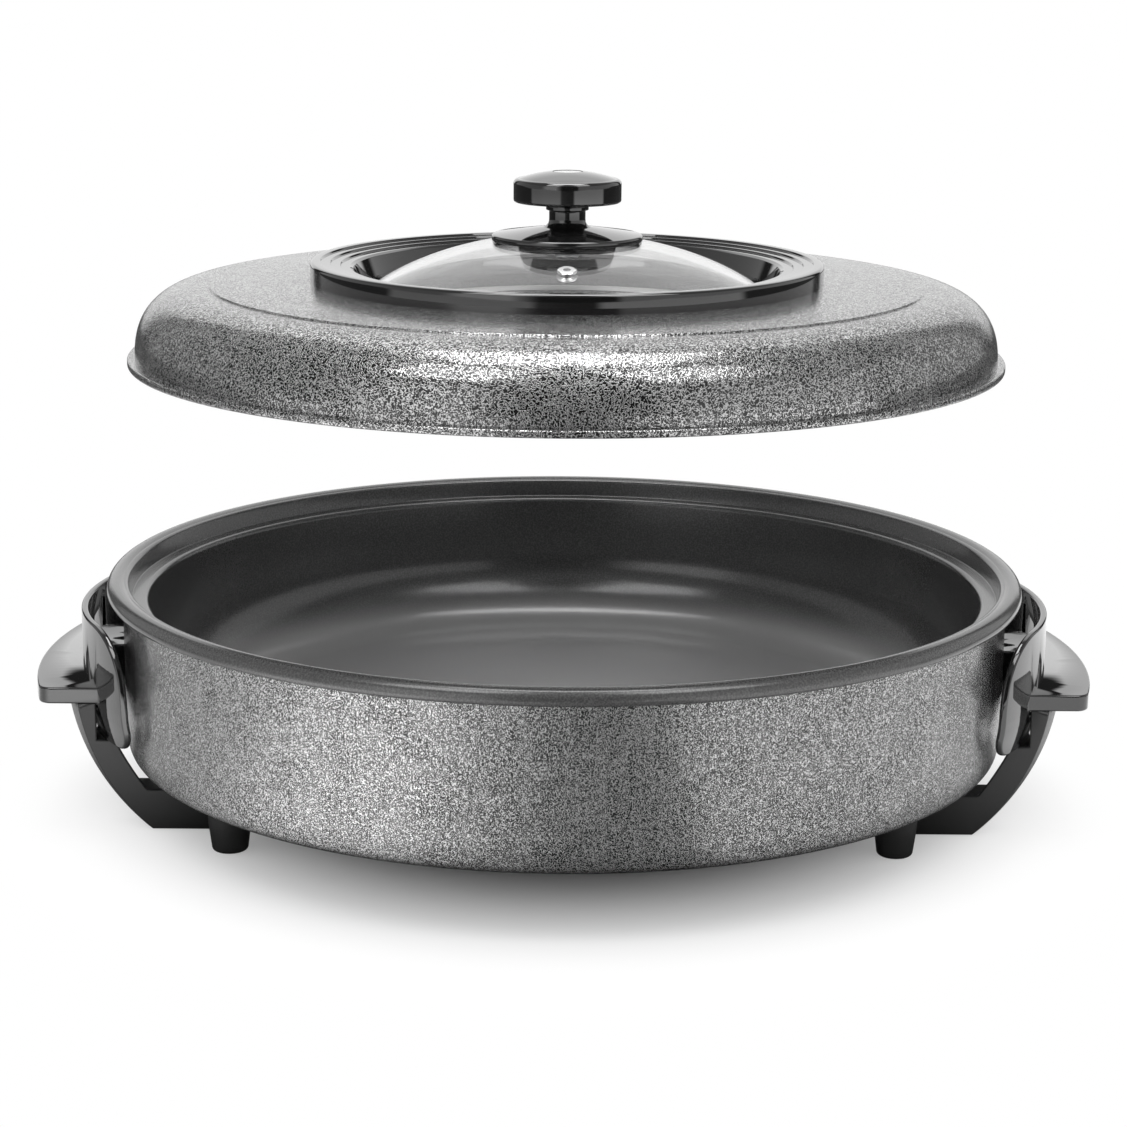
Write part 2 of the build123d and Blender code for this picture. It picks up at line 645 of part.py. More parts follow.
def right_handle():
    """Bowed shield with a flat grip, cored out below, and a pad that meets the shell."""
    prism = Plane.YZ * extrude(shield_outline(), GRIP_REACH)
    body = (bow(0, SHIELD_TOP_Z) - bow(SHIELD_T, SHIELD_TOP_Z + 1)) & prism
    top = body.faces().sort_by(Axis.Z)[-1]
    body = fillet(top.edges().filter_by(GeomType.CIRCLE), SHIELD_EDGE_R)
    plate = grip_outline(0, GRIP_HALF_LENGTH, SHIELD_T / 2)
    plate = fillet(plate.vertices().sort_by(Axis.X)[-2:], GRIP_CORNER_R)
    grip = Pos(0, 0, GRIP_UNDER_Z) * extrude(plate, GRIP_T)
    rims = grip.edges().filter_by(lambda edge: edge.bounding_box().size.Z < GRIP_T / 2)
    outer_rims = rims.filter_by(lambda edge: on_grip_edge(edge @ 0.5))
    grip = fillet(outer_rims, GRIP_ROUND_R)
    core = grip_outline(GRIP_WALL, GRIP_CORE_HALF_L, -GRIP_WALL)
    pitch = 2 * GRIP_CORE_HALF_L / (GRIP_RIB_COUNT + 1)
    for index in range(GRIP_RIB_COUNT):
        rib_y = (index + 1) * pitch - GRIP_CORE_HALF_L
        core -= Pos(GRIP_REACH, rib_y) * Rectangle(2 * BOW_R, GRIP_RIB_T)
    grip -= Pos(0, 0, GRIP_UNDER_Z) * extrude(core, GRIP_CORE_DEPTH)
    body += grip
    pad = block((BOW_X, GRIP_REACH), (-PAD_HALF_W, PAD_HALF_W), (PAD_LOW_Z, PAD_HIGH_Z))
    body += pad & bow(SHIELD_T / 2, SHIELD_TOP_Z)
    body -= disc(SHELL_R + SEAT_GAP, 0, RIM_Z)
    for y in (-HANDLE_SCREW_Y, HANDLE_SCREW_Y):
        start = (handle_screw_head_x(), y, HANDLE_SCREW_Z)
        body -= rod_x(HANDLE_SCREW_R + SCREW_GAP, start, HANDLE_SCREW_L + SCREW_GAP)
    return body - top_screw_holes()


def handle_screw_head_x():
    """Where a head's outer edge just meets the inside of the shell's curved wall."""
    far_y = HANDLE_SCREW_Y + HANDLE_SCREW_R * SCREW_HEAD_RATIO
    return math.sqrt((SHELL_R - SHELL_T) ** 2 - far_y**2)


def right_handle_screws():
    """The two screws that come out through the shell into the handle's pad."""
    body = Rot(0, 90, 0) * screw(HANDLE_SCREW_R, HANDLE_SCREW_L)
    return [Pos(handle_screw_head_x(), y, HANDLE_SCREW_Z) * body for y in (-HANDLE_SCREW_Y, HANDLE_SCREW_Y)]


def handle_screws():
    right = right_handle_screws()
    return group(right + [mirrored(body) for body in right])


def top_screw_places():
    """Inside the bow, each pointing out through the shield at the middle of a leg's top."""
    angle = math.degrees(math.asin(LEG_Y / BOW_R))
    axis = Pos(BOW_X, 0, GRIP_UNDER_Z - TOP_SCREW_DROP)
    return [axis * Rot(0, 0, side * angle) * Pos(BOW_R - SHIELD_T) * Rot(0, 90, 0) for side in (-1, 1)]


def top_screw_length():
    return SHIELD_T + SEAT_GAP + TOP_SCREW_BITE


def top_screw_holes():
    """Spot faces for the heads inside the bow, and holes through the shield into the legs."""
    hole = disc(LEG_SCREW_R * SCREW_HEAD_RATIO + SEAT_GAP, -SCREW_HEAD_H, 0)
    hole += disc(LEG_SCREW_R + SCREW_GAP, -1, top_screw_length() + SCREW_GAP)
    return Part() + [place * hole for place in top_screw_places()]


def leg_section():
    """Radius from the bow's axis against height: a curved leg with a bar at its foot."""
    bar_end = BOW_R / 3
    back = BOW_R + SEAT_GAP
    step_z = SHIELD_BOTTOM_Z - SEAT_GAP
    toe = (LEG_TOE_R, LEG_LIFT)
    top = (LEG_TOP_R, GRIP_UNDER_Z)
    inner_top = (LEG_TOP_R - LEG_TOP_T, step_z)
    inner_mid = (LEG_MID_R - LEG_T, SHELL_BOTTOM_Z)
    crotch = (LEG_TOE_R + LEG_CROTCH_OFFSET, LEG_BAR_TOP_Z)
    outline = make_face(
        [
            Line((bar_end, LEG_LIFT), toe),
            ThreePointArc(toe, (LEG_MID_R, SHELL_BOTTOM_Z + LEG_MID_LIFT), top),
            Line(top, (back, GRIP_UNDER_Z)),
            Line((back, GRIP_UNDER_Z), (back, step_z)),
            Line((back, step_z), inner_top),
            ThreePointArc(inner_top, inner_mid, crotch),
            Line(crotch, (bar_end, LEG_BAR_TOP_Z)),
            Line((bar_end, LEG_BAR_TOP_Z), (bar_end, LEG_LIFT)),
        ]
    )
    corner = outline.vertices().sort_by_distance((*crotch, 0))[0]
    return revolve(Plane.XZ * fillet(corner, LEG_CROTCH_R), Axis.Z)


def rear_leg():
    """A curved leg with a bar at its foot, about the bow's axis."""
    y_range = (GRIP_HALF_LENGTH - LEG_W, GRIP_HALF_LENGTH)
    body = leg_section() & block((LEG_BAR_END, GRIP_REACH), y_range, (0, RIM_Z))

    def on_side(edge):
        point = edge @ 0.5
        free = point.X > LEG_BAR_END + LEG_ROUND_R and point.Z < GRIP_UNDER_Z - LEG_ROUND_R
        return free and min(abs(point.Y - y) for y in y_range) < LEG_ROUND_R

    return fillet(body.edges().filter_by(on_side), LEG_ROUND_R)


def right_leg_bracket():
    """The two legs under the right grip, with bosses and holes for the screws."""
    rear = Pos(BOW_X) * rear_leg()
    body = rear + mirror(rear, about=Plane.XZ)
    for y in (-LEG_Y, LEG_Y):
        boss = disc(LEG_BOSS_R, LEG_BAR_TOP_Z - 1, SHELL_BOTTOM_Z)
        body += Pos(LEG_BOSS_X, y) * boss
        head_r = LEG_SCREW_R * SCREW_HEAD_RATIO + SEAT_GAP
        body -= Pos(LEG_BOSS_X, y) * disc(head_r, 0, LEG_SEAT_Z)
        body -= Pos(LEG_BOSS_X, y) * disc(LEG_SCREW_R + SCREW_GAP, 0, SHELL_BOTTOM_Z + 1)
    return body - top_screw_holes()


def leg_screws():
    """Up through each bar's boss into the shell's bottom flange."""
    length = SHELL_BOTTOM_Z - LEG_SEAT_Z + LEG_SCREW_BITE
    body = screw(LEG_SCREW_R, length)
    return group(Pos(x, y, LEG_SEAT_Z) * body for x, y in leg_screw_places())


def leg_top_screws():
    """Out through the shields into the tops of the legs."""
    body = screw(LEG_SCREW_R, top_screw_length())
    right = [place * body for place in top_screw_places()]
    return group(right + [mirrored(shape) for shape in right])


def foot():
    """Tapered round foot with a rounded toe and a counterbore for its screw."""
    flat_r = FOOT_BOTTOM_R - FOOT_EDGE_R
    body = turned(
        Line((0, 0), (flat_r, 0)),
        TangentArc((flat_r, 0), (FOOT_BOTTOM_R, FOOT_EDGE_R), tangent=(1, 0)),
        Line((FOOT_BOTTOM_R, FOOT_EDGE_R), (FOOT_MID_R, FOOT_MID_Z)),
        Line((FOOT_MID_R, FOOT_MID_Z), (FOOT_TOP_R, SHELL_BOTTOM_Z)),
        Line((FOOT_TOP_R, SHELL_BOTTOM_Z), (0, SHELL_BOTTOM_Z)),
        Line((0, SHELL_BOTTOM_Z), (0, 0)),
    )
    body -= disc(FOOT_RECESS_R, -1, FOOT_SCREW_SEAT_Z)
    return body - disc(FOOT_SCREW_R + SCREW_GAP, 0, SHELL_BOTTOM_Z + 1)


def foot_screws():
    length = SHELL_BOTTOM_Z + SHELL_T + FOOT_NUT_H + FOOT_SCREW_END - FOOT_SCREW_SEAT_Z
    body = screw(FOOT_SCREW_R, length)
    return group(Pos(x, y, FOOT_SCREW_SEAT_Z) * body for x, y in foot_places().values())


def foot_nuts():
    body = nut(FOOT_NUT_R, FOOT_NUT_H, FOOT_SCREW_R + SCREW_GAP)
    return group(Pos(x, y, SHELL_BOTTOM_Z + SHELL_T) * body for x, y in foot_places().values())


def shoulder_curve(inset, wall_r):
    """The lid's shoulder, a squarish quarter oval from the wall up to the crease."""
    run = wall_r - inset - CREASE_R
    rise = SHOULDER_H - inset
    points = []
    for step in range(7):
        angle = math.radians(15 * step)
        across = math.cos(angle) ** (2 / SHOULDER_POWER) if step < 6 else 0
        up = math.sin(angle) ** (2 / SHOULDER_POWER)
        points.append((CREASE_R + run * across, HEM_H + rise * up))
    return Spline(*points, tangents=((0, 1), (-1, 0)))


def lid_dome():
    """Pressed lid: rolled hem, deep shoulder, a crease, and a crown with a hole for the glass."""
    wall_r = LID_R - HEM_W
    inner_r = wall_r - LID_T
    outer = shoulder_curve(0, wall_r)
    inner = shoulder_curve(LID_T, wall_r)
    step_r = CREASE_R - CREASE_STEP
    top = outer @ 1
    under = inner @ 1
    flat_r = BEZEL_R + CROWN_FLAT_W
    return turned(
        Line((inner_r, 0), (LID_R - HEM_ROUND_R, 0)),
        TangentArc((LID_R - HEM_ROUND_R, 0), (LID_R, HEM_ROUND_R), tangent=(1, 0)),
        Line((LID_R, HEM_ROUND_R), (LID_R, HEM_H - HEM_ROUND_R)),
        TangentArc((LID_R, HEM_H - HEM_ROUND_R), (LID_R - HEM_ROUND_R, HEM_H), tangent=(0, 1)),
        Line((LID_R - HEM_ROUND_R, HEM_H), (wall_r, HEM_H)),
        outer,
        Line(top, (step_r, top.Y + CREASE_STEP)),
        Line((step_r, top.Y + CREASE_STEP), (flat_r, CROWN_H)),
        Line((flat_r, CROWN_H), (LID_HOLE_R, CROWN_H)),
        Line((LID_HOLE_R, CROWN_H), (LID_HOLE_R, CROWN_H - LID_T)),
        Line((LID_HOLE_R, CROWN_H - LID_T), (flat_r, CROWN_H - LID_T)),
        Line((flat_r, CROWN_H - LID_T), (step_r, under.Y + CREASE_STEP)),
        Line((step_r, under.Y + CREASE_STEP), under),
        inner,
        Line((inner_r, HEM_H), (inner_r, 0)),
    ) - bezel_screw_holes(0, CROWN_H + 1)


def bezel_screw_places():
    pitch = 360 / BEZEL_SCREW_COUNT
    radius = BEZEL_R - BEZEL_SCREW_INSET
    return [polar(radius, (index + 0.5) * pitch) for index in range(BEZEL_SCREW_COUNT)]


def bezel_screw_holes(low, high):
    hole = disc(BEZEL_SCREW_R + SCREW_GAP, low, high)
    return Part() + [Pos(x, y) * hole for x, y in bezel_screw_places()]


def glass_height(radius, curve_r):
    """Height of a face of the glass at a radius, from the hem's underside."""
    return GLASS_CENTRE_H + math.sqrt(curve_r**2 - radius**2)


def bezel_ring():
    """Black ring on the lid's crown, stepped down towards the glass."""
    crest_h = CROWN_H + BEZEL_H
    inner_r = GLASS_R - BEZEL_INNER_LAP
    round_r = BEZEL_ROUND_R
    path = [(BEZEL_R - round_r, crest_h)]
    radius, height = BEZEL_R - round_r - BEZEL_CREST_W, crest_h
    for _ in range(BEZEL_STEPS):
        path += [(radius, height), (radius - BEZEL_STEP_H / 2, height - BEZEL_STEP_H)]
        radius, height = radius - BEZEL_STEP_W, height - BEZEL_STEP_H
    path += [(inner_r + BEZEL_STEP_H, height), (inner_r, height - BEZEL_STEP_H)]
    path += [(GLASS_R - BEZEL_THROAT_LAP, CLAMP_TOP_H), (SKIRT_R, CLAMP_TOP_H), (SKIRT_R, CROWN_H)]
    path += [(BEZEL_R, CROWN_H), (BEZEL_R, crest_h - round_r)]
    body = turned(
        Polyline(*path),
        TangentArc((BEZEL_R, crest_h - round_r), (BEZEL_R - round_r, crest_h), tangent=(0, 1)),
    )
    return body - bezel_screw_holes(0, CROWN_H + BEZEL_SCREW_BITE + SCREW_GAP)


def ball(radius):
    return Pos(0, 0, GLASS_CENTRE_H) * Sphere(radius)


def glass_blank(gap):
    """The domed disc of glass, with a gap added all round."""
    cylinder = disc(GLASS_R + gap, 0, GLASS_CROWN_H + gap)
    return (cylinder & ball(GLASS_CURVE_R + gap)) - ball(GLASS_CURVE_R - GLASS_T - gap)


def glass_window():
    """Domed glass with a bore for the knob and a tilted one for the vent."""
    hole = disc(VENT_BODY_R + SCREW_GAP, GLASS_CURVE_R - 2 * GLASS_T, GLASS_CURVE_R + GLASS_T)
    return glass_blank(0) - disc(GLASS_BORE_R, 0, GLASS_CROWN_H) - vent_place() * hole


def vent_place():
    """From the glass's centre of curvature, tilted towards the front."""
    return Pos(0, 0, GLASS_CENTRE_H) * Rot(VENT_TILT, 0, 0)


def vent_grommet():
    """Metal eyelet through the glass, with a rolled flange on each face."""
    outer = GLASS_CURVE_R
    inner = math.sqrt((GLASS_CURVE_R - GLASS_T) ** 2 - VENT_FLANGE_R**2)
    rounded = VENT_FLANGE_T * 0.9
    flange = disc(VENT_FLANGE_R, outer, outer + VENT_FLANGE_T)
    flange = fillet(flange.edges().group_by(Axis.Z)[-1], rounded)
    body = flange + disc(VENT_BODY_R, inner - 1, outer + VENT_FLANGE_T / 2)
    body += disc(VENT_FLANGE_R, inner - VENT_FLANGE_T, inner)
    return vent_place() * (body - disc(VENT_BORE_R, inner - 5, outer + 5))


def glass_gasket():
    """Silicone channel round the glass's edge."""
    body = ring(GLASS_R + GASKET_T, GLASS_R - GASKET_LIP, retainer_floor_h(), CLAMP_TOP_H)
    return body - glass_blank(SOFT_GAP)


def retainer_floor_h():
    return glass_height(GLASS_R, GLASS_CURVE_R - GLASS_T) - GASKET_T


def retaining_ring():
    """Cup under the crown that presses the gasket and the glass up to the bezel."""
    floor_h = retainer_floor_h()
    lip_r = GLASS_R - RETAINER_LAP
    top = CROWN_H - LID_T
    wall_top = CLAMP_TOP_H - SEAT_GAP
    flange_low = top - RETAINER_T
    body = turned_polygon(
        (lip_r, floor_h),
        (CLAMP_R, floor_h),
        (CLAMP_R, wall_top),
        (LID_HOLE_R, wall_top),
        (LID_HOLE_R, top),
        (RETAINER_R, top),
        (RETAINER_R, flange_low),
        (LID_HOLE_R + RETAINER_T, flange_low),
        (CLAMP_R + RETAINER_T, floor_h - RETAINER_T),
        (lip_r, floor_h - RETAINER_T),
    )
    return body - bezel_screw_holes(0, CROWN_H)


def bezel_screws():
    """Up through the retaining ring and the crown into the bezel."""
    head_h = CROWN_H - LID_T - RETAINER_T
    body = screw(BEZEL_SCREW_R, RETAINER_T + LID_T + BEZEL_SCREW_BITE)
    return group(Pos(x, y, head_h) * body for x, y in bezel_screw_places())


def knob_base():
    """Flared disc that follows the glass, with a neck and a spigot for the cap."""
    edge_low = glass_height(KNOB_BASE_R, GLASS_CURVE_R)
    edge_high = edge_low + KNOB_EDGE_H
    shoulder_r = KNOB_BASE_R - 1.2
    flare_h = KNOB_FOOT_H + KNOB_RISE
    neck_low = KNOB_FOOT_H + KNOB_NECK_LOW
    spigot_h = KNOB_CAP_H + KNOB_SPIGOT_H
    body = turned(
        Line((0, edge_low), (KNOB_BASE_R, edge_low)),
        Line((KNOB_BASE_R, edge_low), (KNOB_BASE_R, edge_high)),
        TangentArc((KNOB_BASE_R, edge_high), (shoulder_r, edge_high + 1), tangent=(0, 1)),
        Line((shoulder_r, edge_high + 1), (KNOB_FLARE_R, flare_h)),
        TangentArc((KNOB_NECK_R, neck_low), (KNOB_FLARE_R, flare_h), tangent=(0, -1)),
        Line((KNOB_NECK_R, neck_low), (KNOB_NECK_R, KNOB_CAP_H)),
        Line((KNOB_NECK_R, KNOB_CAP_H), (KNOB_SPIGOT_R, KNOB_CAP_H)),
        Line((KNOB_SPIGOT_R, KNOB_CAP_H), (KNOB_SPIGOT_R, spigot_h)),
        Line((KNOB_SPIGOT_R, spigot_h), (0, spigot_h)),
        Line((0, spigot_h), (0, edge_low)),
    )
    body -= ball(GLASS_CURVE_R + SEAT_GAP)
    body -= disc(WASHER_R + SEAT_GAP, edge_low, GLASS_CROWN_H + WASHER_T)
    return body - disc(KNOB_BOLT_R + SCREW_GAP, 0, spigot_h + 1)


def knob_cap():
    """Mushroom cap with a crowned top and a seat for the bright disc."""
    side_low = KNOB_CAP_H + 1.2
    side_high = KNOB_CAP_H + KNOB_CAP_SIDE
    rounded = KNOB_CAP_ROUND
    top = side_high + KNOB_CAP_DOME
    inner_r = KNOB_CAP_R - rounded
    body = turned(
        Line((0, KNOB_CAP_H), (KNOB_CAP_R - 1.2, KNOB_CAP_H)),
        TangentArc((KNOB_CAP_R - 1.2, KNOB_CAP_H), (KNOB_CAP_R, side_low), tangent=(1, 0)),
        Line((KNOB_CAP_R, side_low), (KNOB_CAP_R, side_high - rounded * 0.3)),
        TangentArc(
            (KNOB_CAP_R, side_high - rounded * 0.3), (inner_r, side_high + rounded * 0.5), tangent=(0, 1)
        ),
        TangentArc((0, top), (inner_r, side_high + rounded * 0.5), tangent=(1, 0)),
        Line((0, top), (0, KNOB_CAP_H)),
    )
    seat = top - KNOB_DISC_DROP - KNOB_DISC_T
    body -= disc(KNOB_DISC_R + SCREW_GAP, seat, top + 1)
    body -= disc(KNOB_SPIGOT_R + SCREW_GAP, 0, KNOB_CAP_H + KNOB_SPIGOT_H + SCREW_GAP)
    bolt_top = KNOB_CAP_H + KNOB_SPIGOT_H + SCREW_GAP + KNOB_BOLT_BITE - KNOB_SPIGOT_H
    return body - disc(KNOB_BOLT_R + SCREW_GAP, 0, bolt_top + SCREW_GAP)


def knob_disc():
    top = KNOB_CAP_H + KNOB_CAP_SIDE + KNOB_CAP_DOME - KNOB_DISC_DROP
    body = disc(KNOB_DISC_R, top - KNOB_DISC_T, top)
    return fillet(body.edges().group_by(Axis.Z)[-1], KNOB_DISC_T * 0.4)


def lower_disc_low_h():
    return glass_height(LOWER_DISC_R, GLASS_CURVE_R - GLASS_T) - LOWER_DISC_T


def knob_lower_disc():
    """Black disc under the glass that the bolt draws up."""
    low = lower_disc_low_h()
    body = disc(LOWER_DISC_R, low, GLASS_CROWN_H - GLASS_T)
    body = fillet(body.edges().group_by(Axis.Z)[0], LOWER_DISC_T * 0.35)
    body &= ball(GLASS_CURVE_R - GLASS_T - SEAT_GAP)
    body -= disc(WASHER_R + SEAT_GAP, GLASS_CROWN_H - GLASS_T - WASHER_T, GLASS_CROWN_H)
    return body - disc(KNOB_BOLT_R + SCREW_GAP, 0, GLASS_CROWN_H)


def knob_upper_washer():
    """Silicone washer between the glass and the knob's base."""
    body = disc(WASHER_R, GLASS_CROWN_H - WASHER_T, GLASS_CROWN_H + WASHER_T)
    return body - ball(GLASS_CURVE_R + SOFT_GAP) - disc(KNOB_BOLT_R + SCREW_GAP, 0, KNOB_CAP_H)


def knob_lower_washer():
    """Silicone washer between the glass and the disc under it."""
    under = GLASS_CROWN_H - GLASS_T
    body = disc(WASHER_R, under - WASHER_T, under) & ball(GLASS_CURVE_R - GLASS_T - SOFT_GAP)
    return body - disc(KNOB_BOLT_R + SCREW_GAP, 0, KNOB_CAP_H)


def knob_bolt():
    start = lower_disc_low_h()
    end = KNOB_CAP_H + SCREW_GAP + KNOB_BOLT_BITE
    return Pos(0, 0, start) * screw(KNOB_BOLT_R, end - start)


os.makedirs("parts", exist_ok=True)

BASE_PIECES = {
    "cooking_bowl": cooking_bowl(),
    "outer_shell": outer_shell(),
    "bottom_cover": bottom_cover(),
    "centre_stud": centre_stud(),
    "centre_nut": centre_nut(),
    "heating_element": heating_element(),
    "element_clips": group(element_clip(angle) for angle in CLIP_ANGLES),
    "clip_screws": clip_screws(),
    "probe_guide": probe_guide(),
    "contact_pins": contact_pins(),
    "inlet_housing": inlet_housing(),
    "inlet_screws": inlet_screws(),
    "earth_clip": earth_clip(),
    "handle_right": right_handle(),
    "handle_left": mirrored(right_handle()),
    "handle_screws": handle_screws(),
    "leg_bracket_right": right_leg_bracket(),
    "leg_bracket_left": mirrored(right_leg_bracket()),
    "leg_screws": leg_screws(),
    "leg_top_screws": leg_top_screws(),
    "foot_screws": foot_screws(),
    "foot_nuts": foot_nuts(),
}
for place, (foot_x, foot_y) in foot_places().items():
    BASE_PIECES["foot_" + place] = Pos(foot_x, foot_y) * foot()
for name, shape in BASE_PIECES.items():
    write(name, shape)

LID_PIECES = {
    "lid_dome": lid_dome(),
    "bezel_ring": bezel_ring(),
    "glass_window": glass_window(),
    "glass_gasket": glass_gasket(),
    "retaining_ring": retaining_ring(),
    "bezel_screws": bezel_screws(),
    "vent_grommet": vent_grommet(),
    "knob_base": knob_base(),
    "knob_cap": knob_cap(),
    "knob_disc": knob_disc(),
    "knob_upper_washer": knob_upper_washer(),
    "knob_lower_washer": knob_lower_washer(),
    "knob_lower_disc": knob_lower_disc(),
    "knob_bolt": knob_bolt(),
}
for name, shape in LID_PIECES.items():
    write(name, Pos(0, 0, LID_SEAT_Z) * shape)
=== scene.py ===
"""Looks of the electric multi pan: finishes, detailed pieces, studio and camera."""
import logging
import math
from dataclasses import dataclass
from enum import Enum
from typing import Callable, Dict, List, Optional, Sequence, Tuple, Union

import bmesh
import bpy
from mathutils import Matrix, Vector


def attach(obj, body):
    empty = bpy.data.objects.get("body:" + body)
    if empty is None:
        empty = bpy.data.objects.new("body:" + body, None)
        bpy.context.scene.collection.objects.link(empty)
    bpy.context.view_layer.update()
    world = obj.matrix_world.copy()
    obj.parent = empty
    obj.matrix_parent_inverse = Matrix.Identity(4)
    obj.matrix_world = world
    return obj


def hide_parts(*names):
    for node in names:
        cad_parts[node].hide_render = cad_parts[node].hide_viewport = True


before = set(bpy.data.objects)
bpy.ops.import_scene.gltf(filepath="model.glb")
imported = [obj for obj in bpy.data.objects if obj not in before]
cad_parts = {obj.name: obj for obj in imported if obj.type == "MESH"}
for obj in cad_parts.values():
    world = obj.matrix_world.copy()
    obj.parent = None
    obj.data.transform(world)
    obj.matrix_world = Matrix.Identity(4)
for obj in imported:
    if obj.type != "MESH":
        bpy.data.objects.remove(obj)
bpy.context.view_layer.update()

LOG = logging.getLogger("multi_pan")
MM = 0.001
# Facets round the axis of a small turned piece, of a wide one and of a screw.
FACETS = 256
FACETS_WIDE = 384
FACETS_SCREW = 48
# Angle in degrees above which an edge stays sharp.
CREASE = 32.0
# Height of the raised lid's hem above the worktop, in millimetres.
LID_LIFT = 207.6
# The window's sphere: height of its middle above the lid's hem, and its radius.
GLASS_Z = -133.595
GLASS_R = 190.0
Mesh = bpy.types.Mesh
Key = Union[str, int]
Point = Tuple[float, float]
Place = Tuple[float, float, float]
Box = Tuple[Place, Place]
Colour = Tuple[float, float, float, float]


def grey(level: float, warmth: float = 0.0) -> Colour:
    """Return a near-neutral colour, a little warm or cool.

    Args:
        level: Linear lightness.
        warmth: Share added to red and taken from blue.

    Returns:
        Red, green, blue and alpha.
    """
    return (level * (1 + warmth), level, level * (1 - warmth), 1.0)


class Body(Enum):
    """The two bodies that pieces ride on."""

    BASE = "base"
    LID = "lid"


def maths(operation: str, swapped: bool = False) -> Callable[..., "Signal"]:
    """Write a method that works out a Math node.

    Args:
        operation: The node's operation.
        swapped: Whether the other value comes first.

    Returns:
        The method.
    """

    def join(self: "Signal", other: "Value" = 0.0) -> "Signal":
        """Return the output of a new Math node."""
        pair = (other, self) if swapped else (self, other)
        return self.board.node("ShaderNodeMath", {"operation": operation}, dict(enumerate(pair)))

    return join


class Signal:
    """One socket of a node tree. Arithmetic on it adds Math nodes."""

    __add__ = maths("ADD")
    __radd__ = maths("ADD", swapped=True)
    __sub__ = maths("SUBTRACT")
    __rsub__ = maths("SUBTRACT", swapped=True)
    __mul__ = maths("MULTIPLY")
    __rmul__ = maths("MULTIPLY", swapped=True)
    __truediv__ = maths("DIVIDE")
    __pow__ = maths("POWER")
    floored = maths("FLOOR")
    sine = maths("SINE")
    cosine = maths("COSINE")
    angle = maths("ARCTAN2")

    def __init__(self, board: "Board", socket: bpy.types.NodeSocket) -> None:
        """Keep the socket and the board that it is on."""
        self.board = board
        self.socket = socket

    def bearing(self, other: "Value") -> "Signal":
        """Return the angle of this over other, in degrees."""
        return self.angle(other) * math.degrees(1.0)

    def part(self, name: str) -> "Signal":
        """Return the X, Y or Z of this vector."""
        return self.board.node("ShaderNodeSeparateXYZ", {}, {"Vector": self}, name)

    def step(self, low: float, high: float) -> "Signal":
        """Return a smooth step from 0 at low to 1 at high."""
        ends = {"Value": self, "From Min": low, "From Max": high, "To Min": 0.0, "To Max": 1.0}
        return self.board.node("ShaderNodeMapRange", {"interpolation_type": "SMOOTHSTEP"}, ends)

    def bump(self, middle: float, half: float, edge: float) -> "Signal":
        """Return 1 within half of the middle, falling to 0 over edge on both sides."""
        rise = self.step(middle - half - edge, middle - half)
        return rise * (1.0 - self.step(middle + half, middle + half + edge))


Value = Union[Signal, int, float, Sequence[float]]


class Board:
    """A node tree, with one way to add a node of any kind."""

    def __init__(self, tree: bpy.types.NodeTree) -> None:
        """Keep the tree and empty it."""
        self.tree = tree
        tree.nodes.clear()

    def node(
        self,
        kind: str,
        settings: Optional[Dict[str, object]] = None,
        values: Optional[Dict[Key, object]] = None,
        output: Key = 0,
    ) -> Signal:
        """Add a node.

        Args:
            kind: The node's type.
            settings: Attributes that are set first.
            values: Values or links of its input sockets, by name or number.
            output: Name or number of the output to return.

        Returns:
            The chosen output.
        """
        made = self.tree.nodes.new(kind)
        for key, value in (settings or {}).items():
            setattr(made, key, value)
        for key, value in (values or {}).items():
            socket = self.chosen(made.inputs, key)
            if isinstance(value, Signal):
                self.tree.links.new(value.socket, socket)
            else:
                socket.default_value = value
        return Signal(self, self.chosen(made.outputs or made.inputs, output))

    @staticmethod
    def chosen(sockets: bpy.types.bpy_prop_collection, key: Key) -> bpy.types.NodeSocket:
        """Find a socket.

        Args:
            sockets: The inputs or outputs of a node.
            key: Its number, or its name among the sockets in use.

        Returns:
            The socket.
        """
        if isinstance(key, int):
            return sockets[key]
        return next(socket for socket in sockets if socket.name == key and socket.enabled)

    def blend(self, share: Value, first: Value, second: Value) -> Signal:
        """Return a colour mixed from the first to the second by a share."""
        values = {"Factor": share, "A": first, "B": second}
        return self.node("ShaderNodeMix", {"data_type": "RGBA"}, values, output="Result")

    def layered(self, share: Value, first: Signal, second: Signal) -> Signal:
        """Return a shader mixed from the first to the second by a share."""
        return self.node("ShaderNodeMixShader", {}, {0: share, 1: first, 2: second})

    def place(self) -> Signal:
        """Return the Object coordinates."""
        return self.node("ShaderNodeTexCoord", output="Object")

    def noise(
        self, at: Value, scale: float, detail: float = 2.0, rough: float = 0.5, warp: float = 0.0
    ) -> Signal:
        """Return a noise value.

        Args:
            at: Where it is read.
            scale: Waves per metre.
            detail: Number of finer layers.
            rough: How strong the finer layers are.
            warp: Distortion.

        Returns:
            The noise, near 0.5 on average.
        """
        values = {"Vector": at, "Scale": scale, "Detail": detail, "Roughness": rough}
        return self.node("ShaderNodeTexNoise", {}, {**values, "Distortion": warp})

    def relief(self, height: Signal, depth: float, strength: float = 1.0) -> Signal:
        """Return a normal bumped by a height, with the depth in metres."""
        values = {"Strength": strength, "Distance": depth, "Height": height}
        return self.node("ShaderNodeBump", {}, values)

    def shine(self, values: Dict[Key, object]) -> Signal:
        """Return a Principled shader with these values."""
        return self.node("ShaderNodeBsdfPrincipled", {}, values)


